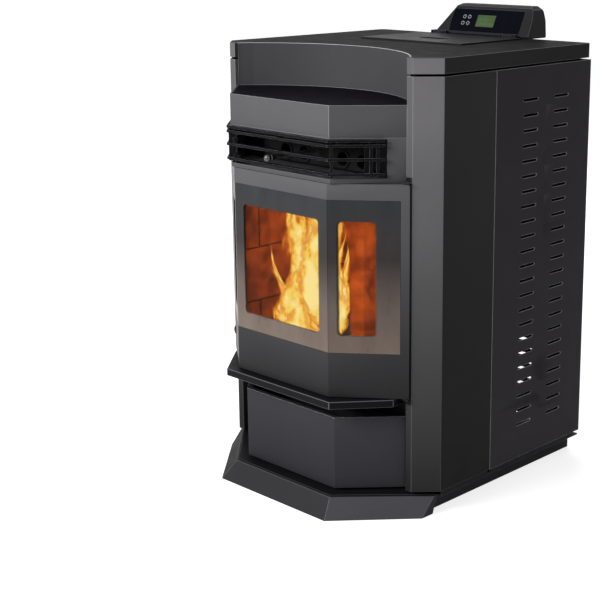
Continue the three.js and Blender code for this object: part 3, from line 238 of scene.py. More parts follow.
def bare_metal(name, tone, rough, brushed, scorch=0.0):
    """Mill-finish steel with drawn lines and, near the fire, a scorched bloom."""
    material, t = finish_tree(name)
    place = t.place()
    lines = t.noise(place, 420.0, 3.0, 0.6, stretch=brushed)
    bloom = t.noise(place, 22.0, 4.0, 0.62)
    colour = t.scaled(tone, t.spread(bloom, 0.3, 0.7, 0.82, 1.12))
    if scorch:
        colour = t.blend(t.spread(bloom, 0.35, 0.7, 0.0, scorch), colour, rgb(0.10, 0.055, 0.03))
    t.surface(Base_Color=colour, Roughness=t.spread(lines, 0.3, 0.7, rough - 0.07, rough + 0.1),
              Metallic=0.95, Normal=t.bump(lines, 0.08, 0.0003))
    return material


def sand_cast(name, tone):
    """Cast iron: sandy grain, rust freckles and a dusting of ash."""
    material, t = finish_tree(name)
    place = t.place()
    sand = t.noise(place, 700.0, 4.0, 0.65)
    rust = t.spread(t.noise(place, 60.0, 5.0, 0.7), 0.52, 0.72, 0.0, 0.6)
    ash = t.spread(t.noise(place, 130.0, 3.0), 0.55, 0.8, 0.0, 0.5)
    colour = t.blend(rust, tone, rgb(0.13, 0.055, 0.025))
    colour = t.blend(ash, colour, rgb(0.26, 0.25, 0.235))
    t.surface(Base_Color=colour, Roughness=t.spread(sand, 0.3, 0.7, 0.68, 0.90), Metallic=0.3,
              Normal=t.bump(sand, 0.5, 0.0006))
    return material


def fire_clay(name, dull, bright, soot_tone):
    """Brick with a painted fire glow: mottled orange clay, soot in drifts, darker away from the
    glow.
    """
    material, t = finish_tree(name)
    place = t.place()
    mottle = t.noise(place, 34.0, 6.0, 0.62)
    pits = t.noise(place, 260.0, 4.0, 0.7)
    colour = t.blend(t.spread(mottle, 0.34, 0.68, 0.0, 1.0), dull, bright)
    soot = t.spread(t.noise(place, 15.0, 5.0, 0.62), 0.52, 0.66, 0.0, 0.75)
    colour = t.blend(soot, colour, soot_tone)
    # painted light: the bricks emit a glow that is strongest near the fire
    away = t.add("ShaderNodeVectorMath", {0: place, 1: PAINTED_GLOW_CENTRE}, operation="DISTANCE")
    near = t.spread(away.outputs["Value"], 0.10, 0.31, 1.12, 0.30, smooth=True)
    rough_face = t.bump(pits, 0.45, 0.0012, t.bump(mottle, 0.4, 0.002))
    t.surface(Base_Color=t.scaled(colour, 0.5), Roughness=t.spread(pits, 0.3, 0.7, 0.8, 0.98),
              Specular_IOR_Level=0.05, Normal=rough_face, Emission_Color=t.scaled(colour, near),
              Emission_Strength=1.0)
    return material


def mirrored_glass(name, clear_x, side):
    """Ceramic glass with a clear field in a mirrored border, with a painted reflection: blue-grey
    at the top, brown below.
    """
    material, t = finish_tree(name)
    place = t.place()
    x, _, z = t.split(place)
    middle_x, half_x = (clear_x[0] + clear_x[1]) / 2, (clear_x[1] - clear_x[0]) / 2
    middle_z, half_z = (WINDOW_TOP + WINDOW_BOTTOM) / 2, (WINDOW_TOP - WINDOW_BOTTOM) / 2
    overs = []
    for across, middle, half in ((x if side > 0 else t.times(x, -1.0), middle_x, half_x),
                                 (z, middle_z, half_z)):
        off = t.maths("ABSOLUTE", t.minus(across, middle))
        over = t.maths("MAXIMUM", t.minus(off, half - WINDOW_CORNER), 0.0)
        overs.append(t.times(over, over))
    reach = t.maths("SQRT", t.plus(*overs))
    wander = t.spread(t.noise(place, 60.0, 2.0), 0.3, 0.7, -0.0004, 0.0004)
    border = t.spread(t.plus(reach, wander), WINDOW_CORNER - 0.0022, WINDOW_CORNER + 0.0012,
                      0.0, 1.0, smooth=True)

    # painted reflection in the mirrored border: warm brown low down, dark blue-grey at the top
    height = t.spread(z, GLASS_BOTTOM, GLASS_TOP, 0.0, 1.0)
    colour = t.ramp(height, (0.0, rgb(0.235, 0.180, 0.148)), (0.30, rgb(0.175, 0.138, 0.120)),
                    (0.62, rgb(0.052, 0.044, 0.044)), (1.0, rgb(0.046, 0.049, 0.054)))
    smear = t.noise(place, 26.0, 4.0, 0.6, stretch=(1.0, 1.0, 0.35))
    mirror = t.add(
        "ShaderNodeBsdfPrincipled",
        {"Base Color": t.scaled(colour, t.spread(smear, 0.3, 0.7, 0.65, 0.845)),
         "Roughness": t.spread(smear, 0.3, 0.7, 0.26, 0.40), "Metallic": 0.12,
         "Specular IOR Level": 0.12},
    )
    clear = t.add("ShaderNodeBsdfTransparent", {"Color": rgb(0.93, 0.90, 0.86)})
    shine = t.add("ShaderNodeBsdfGlossy", {"Color": rgb(0.8, 0.8, 0.8), "Roughness": 0.06})
    veil = t.add("ShaderNodeMixShader", {"Fac": 0.006, 1: clear, 2: shine})
    t.end(t.add("ShaderNodeMixShader", {"Fac": border, 1: veil, 2: mirror}))
    return material


def flame_light(name):
    """Burning gas: pale at the root and core, orange towards the edges, torn clear at the rim."""
    material, t = finish_tree(name)
    u, v, _ = t.split(t.add("ShaderNodeUVMap", uv_map="tongue").outputs["UV"])
    place = t.place()
    streak = t.noise(place, 36.0, 6.0, 0.62, stretch=(1.0, 1.0, 0.50))
    drift = t.noise(place, 17.0, 3.0, 0.55, stretch=(1.0, 1.0, 0.6))
    off = t.maths("ABSOLUTE", t.minus(u, 0.5))
    core = t.spread(off, 0.0, 0.5, 1.05, 0.0, smooth=True)
    torn = t.plus(core, t.spread(streak, 0.28, 0.72, -0.66, 0.62))
    torn = t.plus(torn, t.spread(drift, 0.36, 0.64, -0.22, 0.16))
    cooled = t.plus(t.spread(v, 0.35, 1.0, 0.0, 0.50), t.spread(v, 0.0, 0.07, 0.6, 0.0))
    heat = t.minus(torn, cooled)
    colour = t.ramp(heat, (0.0, rgb(0.46, 0.060, 0.003)), (0.26, rgb(0.62, 0.14, 0.008)),
                    (0.46, rgb(0.80, 0.31, 0.026)), (0.66, rgb(0.93, 0.64, 0.105)),
                    (1.0, rgb(1.0, 0.84, 0.34)))
    glow = t.add("ShaderNodeEmission", {"Color": colour, "Strength": 1.10})
    clear = t.add("ShaderNodeBsdfTransparent")
    seen = t.spread(heat, 0.10, 0.62, 0.0, 0.97, smooth=True)
    t.end(t.add("ShaderNodeMixShader", {"Fac": seen, 1: clear, 2: glow}))
    return material


def glowing_coal(name):
    material, t = finish_tree(name)
    cracks = t.noise(t.place(), 190.0, 4.0, 0.7)
    heat = t.spread(cracks, 0.45, 0.68, 0.0, 1.0)
    t.surface(Base_Color=t.blend(heat, rgb(0.03, 0.02, 0.016), rgb(0.35, 0.09, 0.02)),
              Roughness=0.9, Emission_Strength=1.6, Normal=t.bump(cracks, 0.6, 0.001),
              Emission_Color=t.blend(heat, rgb(0.02, 0.0, 0.0), rgb(1.0, 0.26, 0.03)))
    return material


def moulded_plastic(name, tone, rough, grain, shine, coat=0.0):
    material, t = finish_tree(name)
    place = t.place()
    spark = t.noise(place, 1500.0, 2.0)
    wipe = t.noise(place, 18.0, 4.0, 0.6)
    t.surface(Base_Color=t.scaled(tone, t.spread(wipe, 0.3, 0.7, 0.88, 1.12)),
              Roughness=t.spread(wipe, 0.25, 0.75, rough - 0.05, rough + 0.08),
              Normal=t.bump(spark, grain, 0.0002), Specular_IOR_Level=shine, Coat_Weight=coat)
    return material


def crystal_display(name):
    """The display's green field, with rows of faint dark cells."""
    material, t = finish_tree(name)
    place = t.place()
    x, _, z = t.split(place)
    bars = []
    for along, per_metre, low, high in ((x, 250.0, 0.30, 0.36), (z, 110.0, 0.26, 0.32)):
        cell = t.maths("FRACT", t.times(along, per_metre))
        bars.append(t.spread(t.maths("ABSOLUTE", t.minus(cell, 0.5)), low, high, 1.0, 0.0))
    cells = t.times(t.times(*bars), 0.22)
    glow = t.spread(t.noise(place, 60.0, 2.0), 0.3, 0.7, 0.88, 1.14)
    colour = t.blend(cells, t.scaled(rgb(0.052, 0.088, 0.034), glow), rgb(0.012, 0.022, 0.010))
    t.surface(Base_Color=colour, Roughness=0.25, Specular_IOR_Level=0.1, Emission_Color=colour,
              Emission_Strength=0.25)
    return material


def woven_rope(name):
    material, t = finish_tree(name)
    turned_place = t.add("ShaderNodeMapping", {"Vector": t.place(), "Rotation": (0.4, 0.7, 0.5)})
    strands = t.add("ShaderNodeTexWave", {"Vector": turned_place, "Scale": 160.0,
                                          "Distortion": 1.2, "Detail": 2.0}).outputs["Fac"]
    t.surface(Base_Color=t.blend(strands, rgb(0.035, 0.035, 0.035), rgb(0.15, 0.148, 0.14)),
              Roughness=0.95, Sheen_Weight=0.3, Normal=t.bump(strands, 0.7, 0.0008))
    return material


# ---------- the stove's finishes ----------
GREY = (0.0941, 0.0920, 0.0974)
PAINTED_SHADE_FALL = (0.10, 0.74, 0.36, 1.10)   # painted shade: the tone's share from the ash drawer up to the top, darker towards the floor
POST_BEVEL = (POST_PLANE + 0.0008, POST_PLANE + 0.0368)   # Y of the posts' bevelled corners
# painted light and shade on the side casings: the posts' bevelled corners painted lighter, as if
# lit, the sides darker, as if in shade
CASING_LIGHT_BANDS = (("Y", *POST_BEVEL, 1.75), ("Y", POST_PLANE + 0.0372, 1.0, 0.36))
# the top plate: its top face painted darker than the rim, its bevelled front corners painted
# lighter as a painted highlight, and its right-facing faces darker as painted shade
TOP_TONE_AND_LIGHT_BANDS = (("Z", STOVE_HEIGHT - 0.0009, 1.0, 0.13), ("Y", *POST_BEVEL, 1.7),
             ("facing X", 0.9, 2.0, 0.45))
# The paints for edges are painted highlights: lighter, shinier copies of the face paints, for the
# rounded edges.
PAINTS = {
    # name: tone, roughness, metal, shine, fade, bands
    "grey_paint": (GREY, 0.40, 0.06, 0.06, PAINTED_SHADE_FALL),
    "grey_paint_edge": ((0.554, 0.546, 0.563), 0.30, 0.08, 0.08, PAINTED_SHADE_FALL),
    "arch_paint": ((0.0622, 0.0605, 0.0655), 0.44, 0.04, 0.04),
    # painted shade: the door's grey darker towards its foot
    "door_paint": (GREY, 0.38, 0.06, 0.06, (0.22, 0.60, 0.26, 1.20)),
    # painted shade towards the floor, and right-facing faces painted lighter, as if lit from the
    # right
    "drawer_paint": ((0.0386, 0.0370, 0.0428), 0.40, 0.05, 0.056, (0.04, 0.18, 0.66, 1.05),
                     (("facing X", 0.3, 2.0, 1.45),)),
    # painted highlight on the drawer front's top edge; lower down the band darkens this paint
    "drawer_edge": ((0.714, 0.714, 0.731), 0.25, 0.10, 0.10, None,
                    (("Z", 0.0, DRAWER_TOP - 0.003, 0.10),)),
    # right-facing faces painted lighter and left-facing ones darker: painted light and shade
    "plinth_paint": ((0.0395, 0.0382, 0.0420), 0.42, 0.01, 0.006, None,
                     (("facing X", 0.3, 2.0, 2.0), ("facing X", -2.0, -0.3, 0.4))),
    "plinth_edge": ((0.1176, 0.1176, 0.1218), 0.34, 0.07, 0.08),
    # painted shade towards the floor, with the casing's painted light and shade
    "casing_paint": ((0.1008, 0.0983, 0.1016), 0.42, 0.05, 0.05, (0.05, 0.72, 0.16, 1.12),
                     CASING_LIGHT_BANDS),
    "casing_edge": ((0.218, 0.214, 0.223), 0.34, 0.06, 0.07, PAINTED_SHADE_FALL),
    "panel_paint": ((0.0437, 0.0395, 0.0462), 0.46, 0.03, 0.044),
    "rear_paint": ((0.0638, 0.0613, 0.0655), 0.42, 0.04, 0.06),
    "panel_edge": ((0.672, 0.664, 0.672), 0.34, 0.06, 0.08),
    "top_paint": ((0.1327, 0.1294, 0.1361), 0.46, 0.02, 0.002, None, TOP_TONE_AND_LIGHT_BANDS),
    "top_edge": ((0.252, 0.252, 0.260), 0.32, 0.06, 0.08),
    "lid_paint": ((0.0218, 0.0214, 0.0235), 0.40, 0.04, 0.012),
    "black_paint": ((0.00714, 0.00672, 0.00840), 0.42, 0.02, 0.05),
    "shelf_paint": ((0.00462, 0.00403, 0.00588), 0.62, 0.01, 0.01),
    "black_paint_edge": ((0.605, 0.605, 0.622), 0.28, 0.10, 0.10),
    "inner_paint": ((0.0294, 0.0277, 0.0269), 0.60, 0.02, 0.04),
    "blackened_screw": ((0.0168, 0.0168, 0.0185), 0.35, 0.12, 0.10),
}
paint = {name: stove_paint(name, *values) for name, values in PAINTS.items()}
steel = bare_metal("bare_steel", rgb(0.46, 0.46, 0.47), 0.34, (1.0, 1.0, 0.08))
zinc = bare_metal("zinc_screw", rgb(0.55, 0.55, 0.56), 0.30, (1.0, 1.0, 1.0))
hot_steel = bare_metal("scorched_steel", rgb(0.30, 0.28, 0.27), 0.42, (1.0, 0.1, 1.0), 0.6)
iron = sand_cast("cast_iron", rgb(0.035, 0.032, 0.030))
clay = fire_clay("fire_clay", rgb(0.165, 0.0190, 0.0006), rgb(0.53, 0.088, 0.003),
                 rgb(0.036, 0.005, 0.0006))
mortar = fire_clay("fire_clay_joint", rgb(0.050, 0.008, 0.001), rgb(0.110, 0.018, 0.002),
                   rgb(0.020, 0.004, 0.001))
plastic = moulded_plastic("console_plastic", rgb(0.014, 0.014, 0.016), 0.42, 0.3, 0.08)
# painted highlight: a lighter, shinier copy of the console plastic for its rounded edges
plastic_edge_highlight = moulded_plastic("console_plastic_edge", rgb(0.030, 0.030, 0.033), 0.32, 0.2, 0.5)
membrane = moulded_plastic("gloss_membrane", rgb(0.0035, 0.0038, 0.0070), 0.30, 0.02, 0.012)
silver = moulded_plastic("silver_button", rgb(0.30, 0.31, 0.34), 0.28, 0.05, 0.5)
dark_gloss = moulded_plastic("dark_ball", rgb(0.018, 0.017, 0.018), 0.12, 0.02, 0.6, 0.5)
display = crystal_display("crystal_display")
rope = woven_rope("woven_rope")
flame = flame_light("flame")
coal = glowing_coal("glowing_coal")


# ---------- pieces made from the frame ----------
def copy_mesh(node, cuts=()):
    """The node's mesh with doubles merged and flat faces joined up, though not across the cuts."""
    mesh = NODES[node].data.copy()
    bm = bmesh.new()
    bm.from_mesh(mesh)
    bmesh.ops.remove_doubles(bm, verts=bm.verts, dist=2e-6)
    for point, across in cuts:
        every = bm.verts[:] + bm.edges[:] + bm.faces[:]
        cut = bmesh.ops.bisect_plane(bm, geom=every, plane_co=point, plane_no=across)["geom_cut"]
        for made in cut:
            if isinstance(made, bmesh.types.BMEdge):
                made.seam = True
    bmesh.ops.dissolve_limit(bm, angle_limit=math.radians(0.4), verts=bm.verts, edges=bm.edges,
                             delimit={"SEAM"})
    bm.to_mesh(mesh)
    bm.free()
    mesh.materials.clear()
    return mesh


def settle(obj, body, slot, *nodes):
    """Puts a finished piece on its CAD body, in place of its CAD nodes. The slot is not used."""
    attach(obj, body)
    if nodes:
        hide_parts(*nodes)
    return obj


def linked(name, data):
    obj = bpy.data.objects.new(name, data)
    bpy.context.scene.collection.objects.link(obj)
    return obj


def plain(obj):
    """The object with its modifiers made part of a plain mesh."""
    bpy.context.view_layer.update()
    seen = obj.evaluated_get(bpy.context.evaluated_depsgraph_get())
    mesh = bpy.data.meshes.new_from_object(seen)
    old = obj.data
    obj.modifiers.clear()
    obj.data = mesh
    if old.users == 0:
        bpy.data.meshes.remove(old)
    return obj


def shaded(mesh, angle=35.0):
    mesh.shade_smooth()
    mesh.set_sharp_from_angle(angle=math.radians(angle))


def round_edges(obj, width, angle, segments, material=-1):
    """Rounds the edges that are sharper than the angle, and keeps the result."""
    bevel = obj.modifiers.new("Eased edges", "BEVEL")
    bevel.width, bevel.segments = width, segments
    bevel.limit_method, bevel.angle_limit = "ANGLE", math.radians(angle)
    bevel.harden_normals = True
    bevel.material = material
    plain(obj)


def eased(node, finish, edge, width, segments=2, cuts=()):
    """A CAD node with its edges rounded. They can take their own, lighter finish: a painted
    highlight.
    """
    mesh = copy_mesh(node, cuts)
    for layer in (finish, edge) if edge else (finish,):
        mesh.materials.append(layer)
    shaded(mesh, 32)
    obj = linked(node + "_finished", mesh)
    round_edges(obj, width, 33, segments, 1 if edge else -1)
    slot = next(s["material_slot"] for s in frame["record"]["subparts"] if s["node"] == node)
    return settle(obj, NODES[node]["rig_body"], slot, node)


def bricks(node, axis, nearest):
    """A liner with dark mortar in its joints. Its face to the fire is the nearest on the axis."""
    mesh = copy_mesh(node)
    mesh.materials.append(clay)
    mesh.materials.append(mortar)
    face = nearest(v.co[axis] for v in mesh.vertices)
    for polygon in mesh.polygons:
        sunk = abs(polygon.center[axis] - face)
        if 0.0004 < sunk < 0.0027:
            polygon.material_index = 1
    shaded(mesh, 40)
    obj = linked(node + "_finished", mesh)
    round_edges(obj, 0.0009, 40, 2)
    return settle(obj, "root", "refractory", node)


def painted(finish, *nodes):
    """CAD nodes that keep their own meshes."""
    for node in nodes:
        mesh = NODES[node].data
        mesh.materials.clear()
        mesh.materials.append(finish)
        shaded(mesh)


slot_gaps = [((0, 0, LOWEST_GAP + SLOT_PITCH * row), ALONG_Z) for row in range(SLOT_ROWS + 1)]
slot_gaps += [((0, COLUMN_GAP, 0), ALONG_Y)]
SHEET_METAL = (
    # CAD node, paint, painted highlight on the rounded edges, how far the edges are rounded
    ("side_casing_left", "casing_paint", "casing_edge", 0.0008),
    ("side_casing_right", "casing_paint", "casing_edge", 0.0008),
    ("louvre_panel_left", "panel_paint", "panel_edge", 0.0006, 2, slot_gaps),
    ("louvre_panel_right", "panel_paint", "panel_edge", 0.0006, 2, slot_gaps),
    ("base_plinth", "plinth_paint", "plinth_edge", 0.0010),
    ("base_tray", "black_paint", "casing_edge", 0.0005),
    ("rear_panel", "rear_paint", "top_edge", 0.0003),
    ("top_plate", "top_paint", "top_edge", 0.0010),
    ("arch_fascia", "arch_paint", "grey_paint_edge", 0.0005),
    ("bay_shelf", "shelf_paint", "black_paint_edge", 0.0005),
    ("bay_fascia", "grey_paint", "grey_paint_edge", 0.0008),
    ("grille_surround", "grey_paint", "casing_edge", 0.0004),
    ("louvre_grille", "black_paint", "black_paint_edge", 0.0006),
    ("front_frame", "black_paint", None, 0.0004),
    ("ash_lip", "black_paint", "casing_edge", 0.0012),
    ("ash_drawer_front", "drawer_paint", "drawer_edge", 0.0019),
    ("ash_pan", "black_paint", "casing_edge", 0.0004),
    ("door_frame", "door_paint", None, 0.0010),
    ("glass_retainer", "black_paint", None, 0.0003),
    ("hopper_lid", "lid_paint", "casing_edge", 0.0004),
    ("hopper", "inner_paint", None, 0.0004),
    ("hinge_bracket_lower", "black_paint", "casing_edge", 0.0002),
    ("hinge_bracket_upper", "black_paint", "casing_edge", 0.0002),
    ("lid_hinge_left", "black_paint", "casing_edge", 0.0002),
    ("lid_hinge_right", "black_paint", "casing_edge", 0.0002),
    ("firebox_shell", "inner_paint", None, 0.0004),
)
for sheet_node, face_paint, highlight_paint, *shape in SHEET_METAL:
    eased(sheet_node, paint[face_paint], paint.get(highlight_paint), *shape)
for pane, clear_x, side in (("glass_centre", (-WINDOW_HALF, WINDOW_HALF), 1),
                            ("glass_right", SIDE_CLEAR, 1), ("glass_left", SIDE_CLEAR, -1)):
    eased(pane, mirrored_glass(pane + "_ceramic", clear_x, side), None, 0.0003)
eased("door_gasket", rope, None, 0.0006, 3)
eased("console_housing", plastic, plastic_edge_highlight, 0.0022, 3)
eased("console_face", membrane, None, 0.0002)
eased("display_lens", display, None, 0.0002)
eased("power_inlet", plastic, plastic_edge_highlight, 0.0004)
eased("door_latch", steel, None, 0.0003)
eased("burn_pot", iron, None, 0.0005)
bricks("brick_liner_rear", 1, min)
bricks("brick_liner_left", 0, max)
bricks("brick_liner_right", 0, min)
painted(steel, "air_duct", "auger_tube", "auger_screw", "scraper_plate")
painted(iron, "exhaust_housing")
painted(paint["inner_paint"], "pellet_chute", "convection_housing", "heat_exchanger")
painted(paint["black_paint"], "auger_motor")


# ---------- round pieces ----------
def turned(profile, origin, axis, around=48, loop=False, bm=None):
    """A closed body turned about an axis. The profile's points are (radius, way along it)."""
    if bm is None:
        bm = bmesh.new()
    axis = Vector(axis).normalized()
    side = axis.orthogonal().normalized()
    other = axis.cross(side)
    rings = []
    for radius, along in profile:
        centre = Vector(origin) + axis * along
        if radius < 1e-7:
            rings.append([bm.verts.new(centre)])
            continue
        turns = (2 * math.pi * k / around for k in range(around))
        rings.append([bm.verts.new(centre + (side * math.cos(a) + other * math.sin(a)) * radius)
                      for a in turns])
    faces = []
    pairs = list(zip(rings, rings[1:])) + ([(rings[-1], rings[0])] if loop else [])
    for low, high in pairs:
        for k in range(around):
            j = (k + 1) % around
            corners = (low[k % len(low)], low[j % len(low)],
                       high[j % len(high)], high[k % len(high)])
            corners = list(dict.fromkeys(corners))
            if len(corners) > 2:
                faces.append(bm.faces.new(corners))
    bmesh.ops.recalc_face_normals(bm, faces=faces)
    return bm


def mesh_of(bm, name="made"):
    mesh = bpy.data.meshes.new(name)
    bm.to_mesh(mesh)
    bm.free()
    return mesh


def shown(name, mesh, finish, body, slot, *nodes):
    """Links a made mesh as a finished piece."""
    mesh.name = name
    if finish is not None:
        mesh.materials.append(finish)
    shaded(mesh)
    return settle(linked(name, mesh), body, slot, *nodes)


def pipe_profile(inner, outer, start, end, beads):
    """The wall of a round pipe, with raised beads and a rolled end."""
    points = [(inner, start), (outer, start)]
    for at in beads:
        points += [(outer, at - 0.003), (outer + 0.0011, at - 0.0015), (outer + 0.0015, at),
                   (outer + 0.0011, at + 0.0015), (outer, at + 0.003)]
    return points + [(outer, end - 0.0008), (outer - 0.0004, end), (inner + 0.0003, end),
                     (inner, end - 0.0006)]


def spigot(name, node, origin, around, finish, pipe, flange):
    """A round pipe end with its flange on the sheet behind."""
    bm = turned(pipe_profile(*pipe), origin, ALONG_Y, around, True)
    turned(flange, origin, ALONG_Y, around, True, bm)
    shown(name, mesh_of(bm), finish, "root", "steel", node)


spigot("flue_outlet_finished", "flue_outlet", FLUE, 64, hot_steel,
       (0.038, 0.0396, 0.2103, 0.3175, (0.240, 0.300)),
       ((0.0385, 0.2103), (0.0385, 0.2130), (0.0470, 0.2130), (0.0475, 0.2125), (0.0475, 0.2103)))
spigot("air_intake_finished", "air_intake_pipe", INTAKE, 48, steel,
       (0.0205, 0.0222, -0.005, 0.310, (0.302,)),
       ((0.0222, 0.2753), (0.0222, 0.2790), (0.0310, 0.2790), (0.0318, 0.2782), (0.0318, 0.2753)))

rod_end = KNOB_Y + 0.016
rod = turned([(0, -0.0775), (0.0028, -0.0775), (0.0028, -0.0798), (0.0039, -0.0798),
              (0.0039, rod_end), (0, rod_end)], PULL_ROD, ALONG_Y, 24)
ball = [(0.0069 * math.sin(a), -0.0069 * math.cos(a)) for a in map(math.radians, range(10, 150, 8))]
collar = [(0.0042, 0.0062), (0.0048, 0.0070), (0.0048, 0.0165), (0.0036, 0.0175), (0, 0.0175)]
knob = turned([(0, -0.0069)] + ball + collar, (PULL_ROD[0], KNOB_Y, PULL_ROD[2]), ALONG_Y, 48)
shown("scraper_rod_finished", mesh_of(rod), steel, "scraper", "steel", "scraper_rod")
shown("scraper_knob", mesh_of(knob), dark_gloss, "scraper", "black_plastic")


def push_button(node):
    """A silver ring round a dark dished centre."""
    mesh = NODES[node].data
    centre = sum((v.co for v in mesh.vertices), Vector()) / len(mesh.vertices)
    reach = [(v.co - centre).dot(BUTTON_OUT) for v in mesh.vertices]
    low, high = min(reach), max(reach)
    step = low + 0.0021
    profile = [(0, low), (0.0057, low), (0.0057, step), (0.0042, step), (0.0042, high - 0.0004),
               (0.0038, high), (0.0030, high), (0.0026, high - 0.0005), (0.0014, high - 0.0008),
               (0, high - 0.0008)]
    made = mesh_of(turned(profile, centre, BUTTON_OUT, 32))
    made.materials.append(silver)
    made.materials.append(membrane)
    for polygon in made.polygons:
        off = polygon.center - centre
        out = off.dot(BUTTON_OUT)
        if out > high - 0.0009 and (off - BUTTON_OUT * out).length < 0.0027:
            polygon.material_index = 1
    shown(node + "_finished", made, None, NODES[node]["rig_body"], "button", node)


for number in (1, 2, 3, 4):
    push_button(f"button_{number}")


# ---------- geometry node trees ----------
def node_tree(name, **sizes):
    """A geometry tree, its named inputs and its way out. A size is (socket type, default)."""
    group = bpy.data.node_groups.new(name, "GeometryNodeTree")
    for in_out in ("INPUT", "OUTPUT"):
        group.interface.new_socket(name="Geometry", in_out=in_out,
                                   socket_type="NodeSocketGeometry")
    for label, (kind, value) in sizes.items():
        made = group.interface.new_socket(name=label.replace("_", " "), in_out="INPUT",
                                          socket_type="NodeSocket" + kind)
        if value is not None:
            made.default_value = value
    t = Tree(group)
    given = t.add("NodeGroupInput").outputs
    return group, t, given, t.add("NodeGroupOutput").inputs["Geometry"]


def grown(obj, group, **values):
    """Runs the tree on the object with these input values and keeps the result as a mesh."""
    modifier = obj.modifiers.new(group.name, "NODES")
    modifier.node_group = group
    for item in group.interface.items_tree:
        key = item.name.replace(" ", "_")
        if item.in_out == "INPUT" and key in values:
            modifier[item.identifier] = values[key]
    return plain(obj)


def screw_tree():
    """A low domed head with a cross recess on each point, turned to face outwards."""
    group, t, given, out = node_tree(
        "screw_heads", Head_Radius=("Float", 0.0035), Head_Height=("Float", 0.0018),
        Sides=("Int", 20), Finish=("Material", None), Recess=("Material", None))
    radius, height = given["Head Radius"], given["Head Height"]
    crown = t.times(radius, 0.62)
    skirt = t.add("GeometryNodeMeshCone", {"Vertices": given["Sides"], "Radius Top": crown,
                                           "Radius Bottom": radius, "Depth": height})
    head = t.coated(skirt.outputs["Mesh"], given["Finish"])
    lift = t.add("ShaderNodeCombineXYZ", {"Z": height})
    bars = []
    for long_side, short_side in (("X", "Y"), ("Y", "X")):
        size = t.add("ShaderNodeCombineXYZ", {long_side: t.times(radius, 0.95),
                                              short_side: t.times(radius, 0.20),
                                              "Z": t.times(height, 0.1)})
        bar = t.add("GeometryNodeMeshCube", {"Size": size}).outputs["Mesh"]
        bars.append(t.add("GeometryNodeTransform", {"Geometry": bar, "Translation": lift}))
    whole = t.joined(head, t.coated(t.joined(*bars), given["Recess"]))
    facing = t.add("GeometryNodeInputNamedAttribute", {"Name": "facing"}, data_type="FLOAT_VECTOR")
    turn = t.add("FunctionNodeAlignRotationToVector", {"Vector": facing.outputs["Attribute"]},
                 axis="Z")
    t.feed(out, t.copies(given["Geometry"], whole, turn))
    return group


def pellet_tree():
    """Short rods strewn over a disc, each leaning and turned its own way."""
    group, t, given, out = node_tree(
        "pellet_pile", Density=("Float", 20000.0), Pellet_Radius=("Float", 0.003),
        Pellet_Length=("Float", 0.016), Tilt=("Float", 0.5), Seed=("Int", 7),
        Finish=("Material", None))
    seed, tilt = given["Seed"], given["Tilt"]
    strewn = t.add("GeometryNodeDistributePointsOnFaces",
                   {"Mesh": given["Geometry"], "Density": given["Density"], "Seed": seed})
    pellet = t.add("GeometryNodeMeshCylinder", {"Vertices": 8, "Radius": given["Pellet Radius"],
                                                "Depth": given["Pellet Length"]})
    low = t.add("ShaderNodeCombineXYZ", {"X": t.minus(1.5708, tilt), "Z": 0.0})
    high = t.add("ShaderNodeCombineXYZ", {"X": t.plus(1.5708, tilt), "Z": 6.28318})
    turn = t.add("FunctionNodeRandomValue", {0: low, 1: high, "Seed": seed},
                 data_type="FLOAT_VECTOR")
    size = t.add("FunctionNodeRandomValue", {2: 0.7, 3: 1.15, "Seed": seed}, data_type="FLOAT")
    real = t.copies(strewn.outputs["Points"], pellet.outputs["Mesh"], turn.outputs[0],
                    Scale=size.outputs[1])
    t.feed(out, t.coated(real, given["Finish"]))
    return group


def mouth_tree():
    """Expanded tube ends: a rolled collar and a smooth sleeve at each point."""
    group, t, given, out = node_tree(
        "tube_mouths", Bore=("Float", 0.0125), Wall=("Float", 0.0011), Length=("Float", 0.165),
        Collar=("Float", 0.0040), Finish=("Material", None))
    wall, length, collar_wall = given["Wall"], given["Length"], given["Collar"]
    middle = t.plus(given["Bore"], t.times(wall, 0.5))
    rings = []
    for radius, wide, long, ahead in (
            (middle, wall, length, t.times(length, 0.5)),
            (t.plus(middle, t.times(collar_wall, 0.5)), collar_wall, 0.0026, 0.0006)):
        ring = t.add("GeometryNodeCurvePrimitiveCircle", {"Resolution": 40, "Radius": radius},
                     mode="RADIUS")
        section = t.add("GeometryNodeCurvePrimitiveQuadrilateral", {0: wide, 1: long})
        tube = t.add("GeometryNodeCurveToMesh", {"Curve": ring, "Profile Curve": section})
        shift = t.add("ShaderNodeCombineXYZ", {"Z": ahead})
        rings.append(t.add("GeometryNodeTransform", {"Geometry": tube, "Translation": shift}))
    turn = t.add("FunctionNodeEulerToRotation", {0: (-math.pi / 2, 0.0, 0.0)})
    real = t.copies(given["Geometry"], t.joined(*rings), turn)
    t.feed(out, t.coated(real, given["Finish"]))
    return group


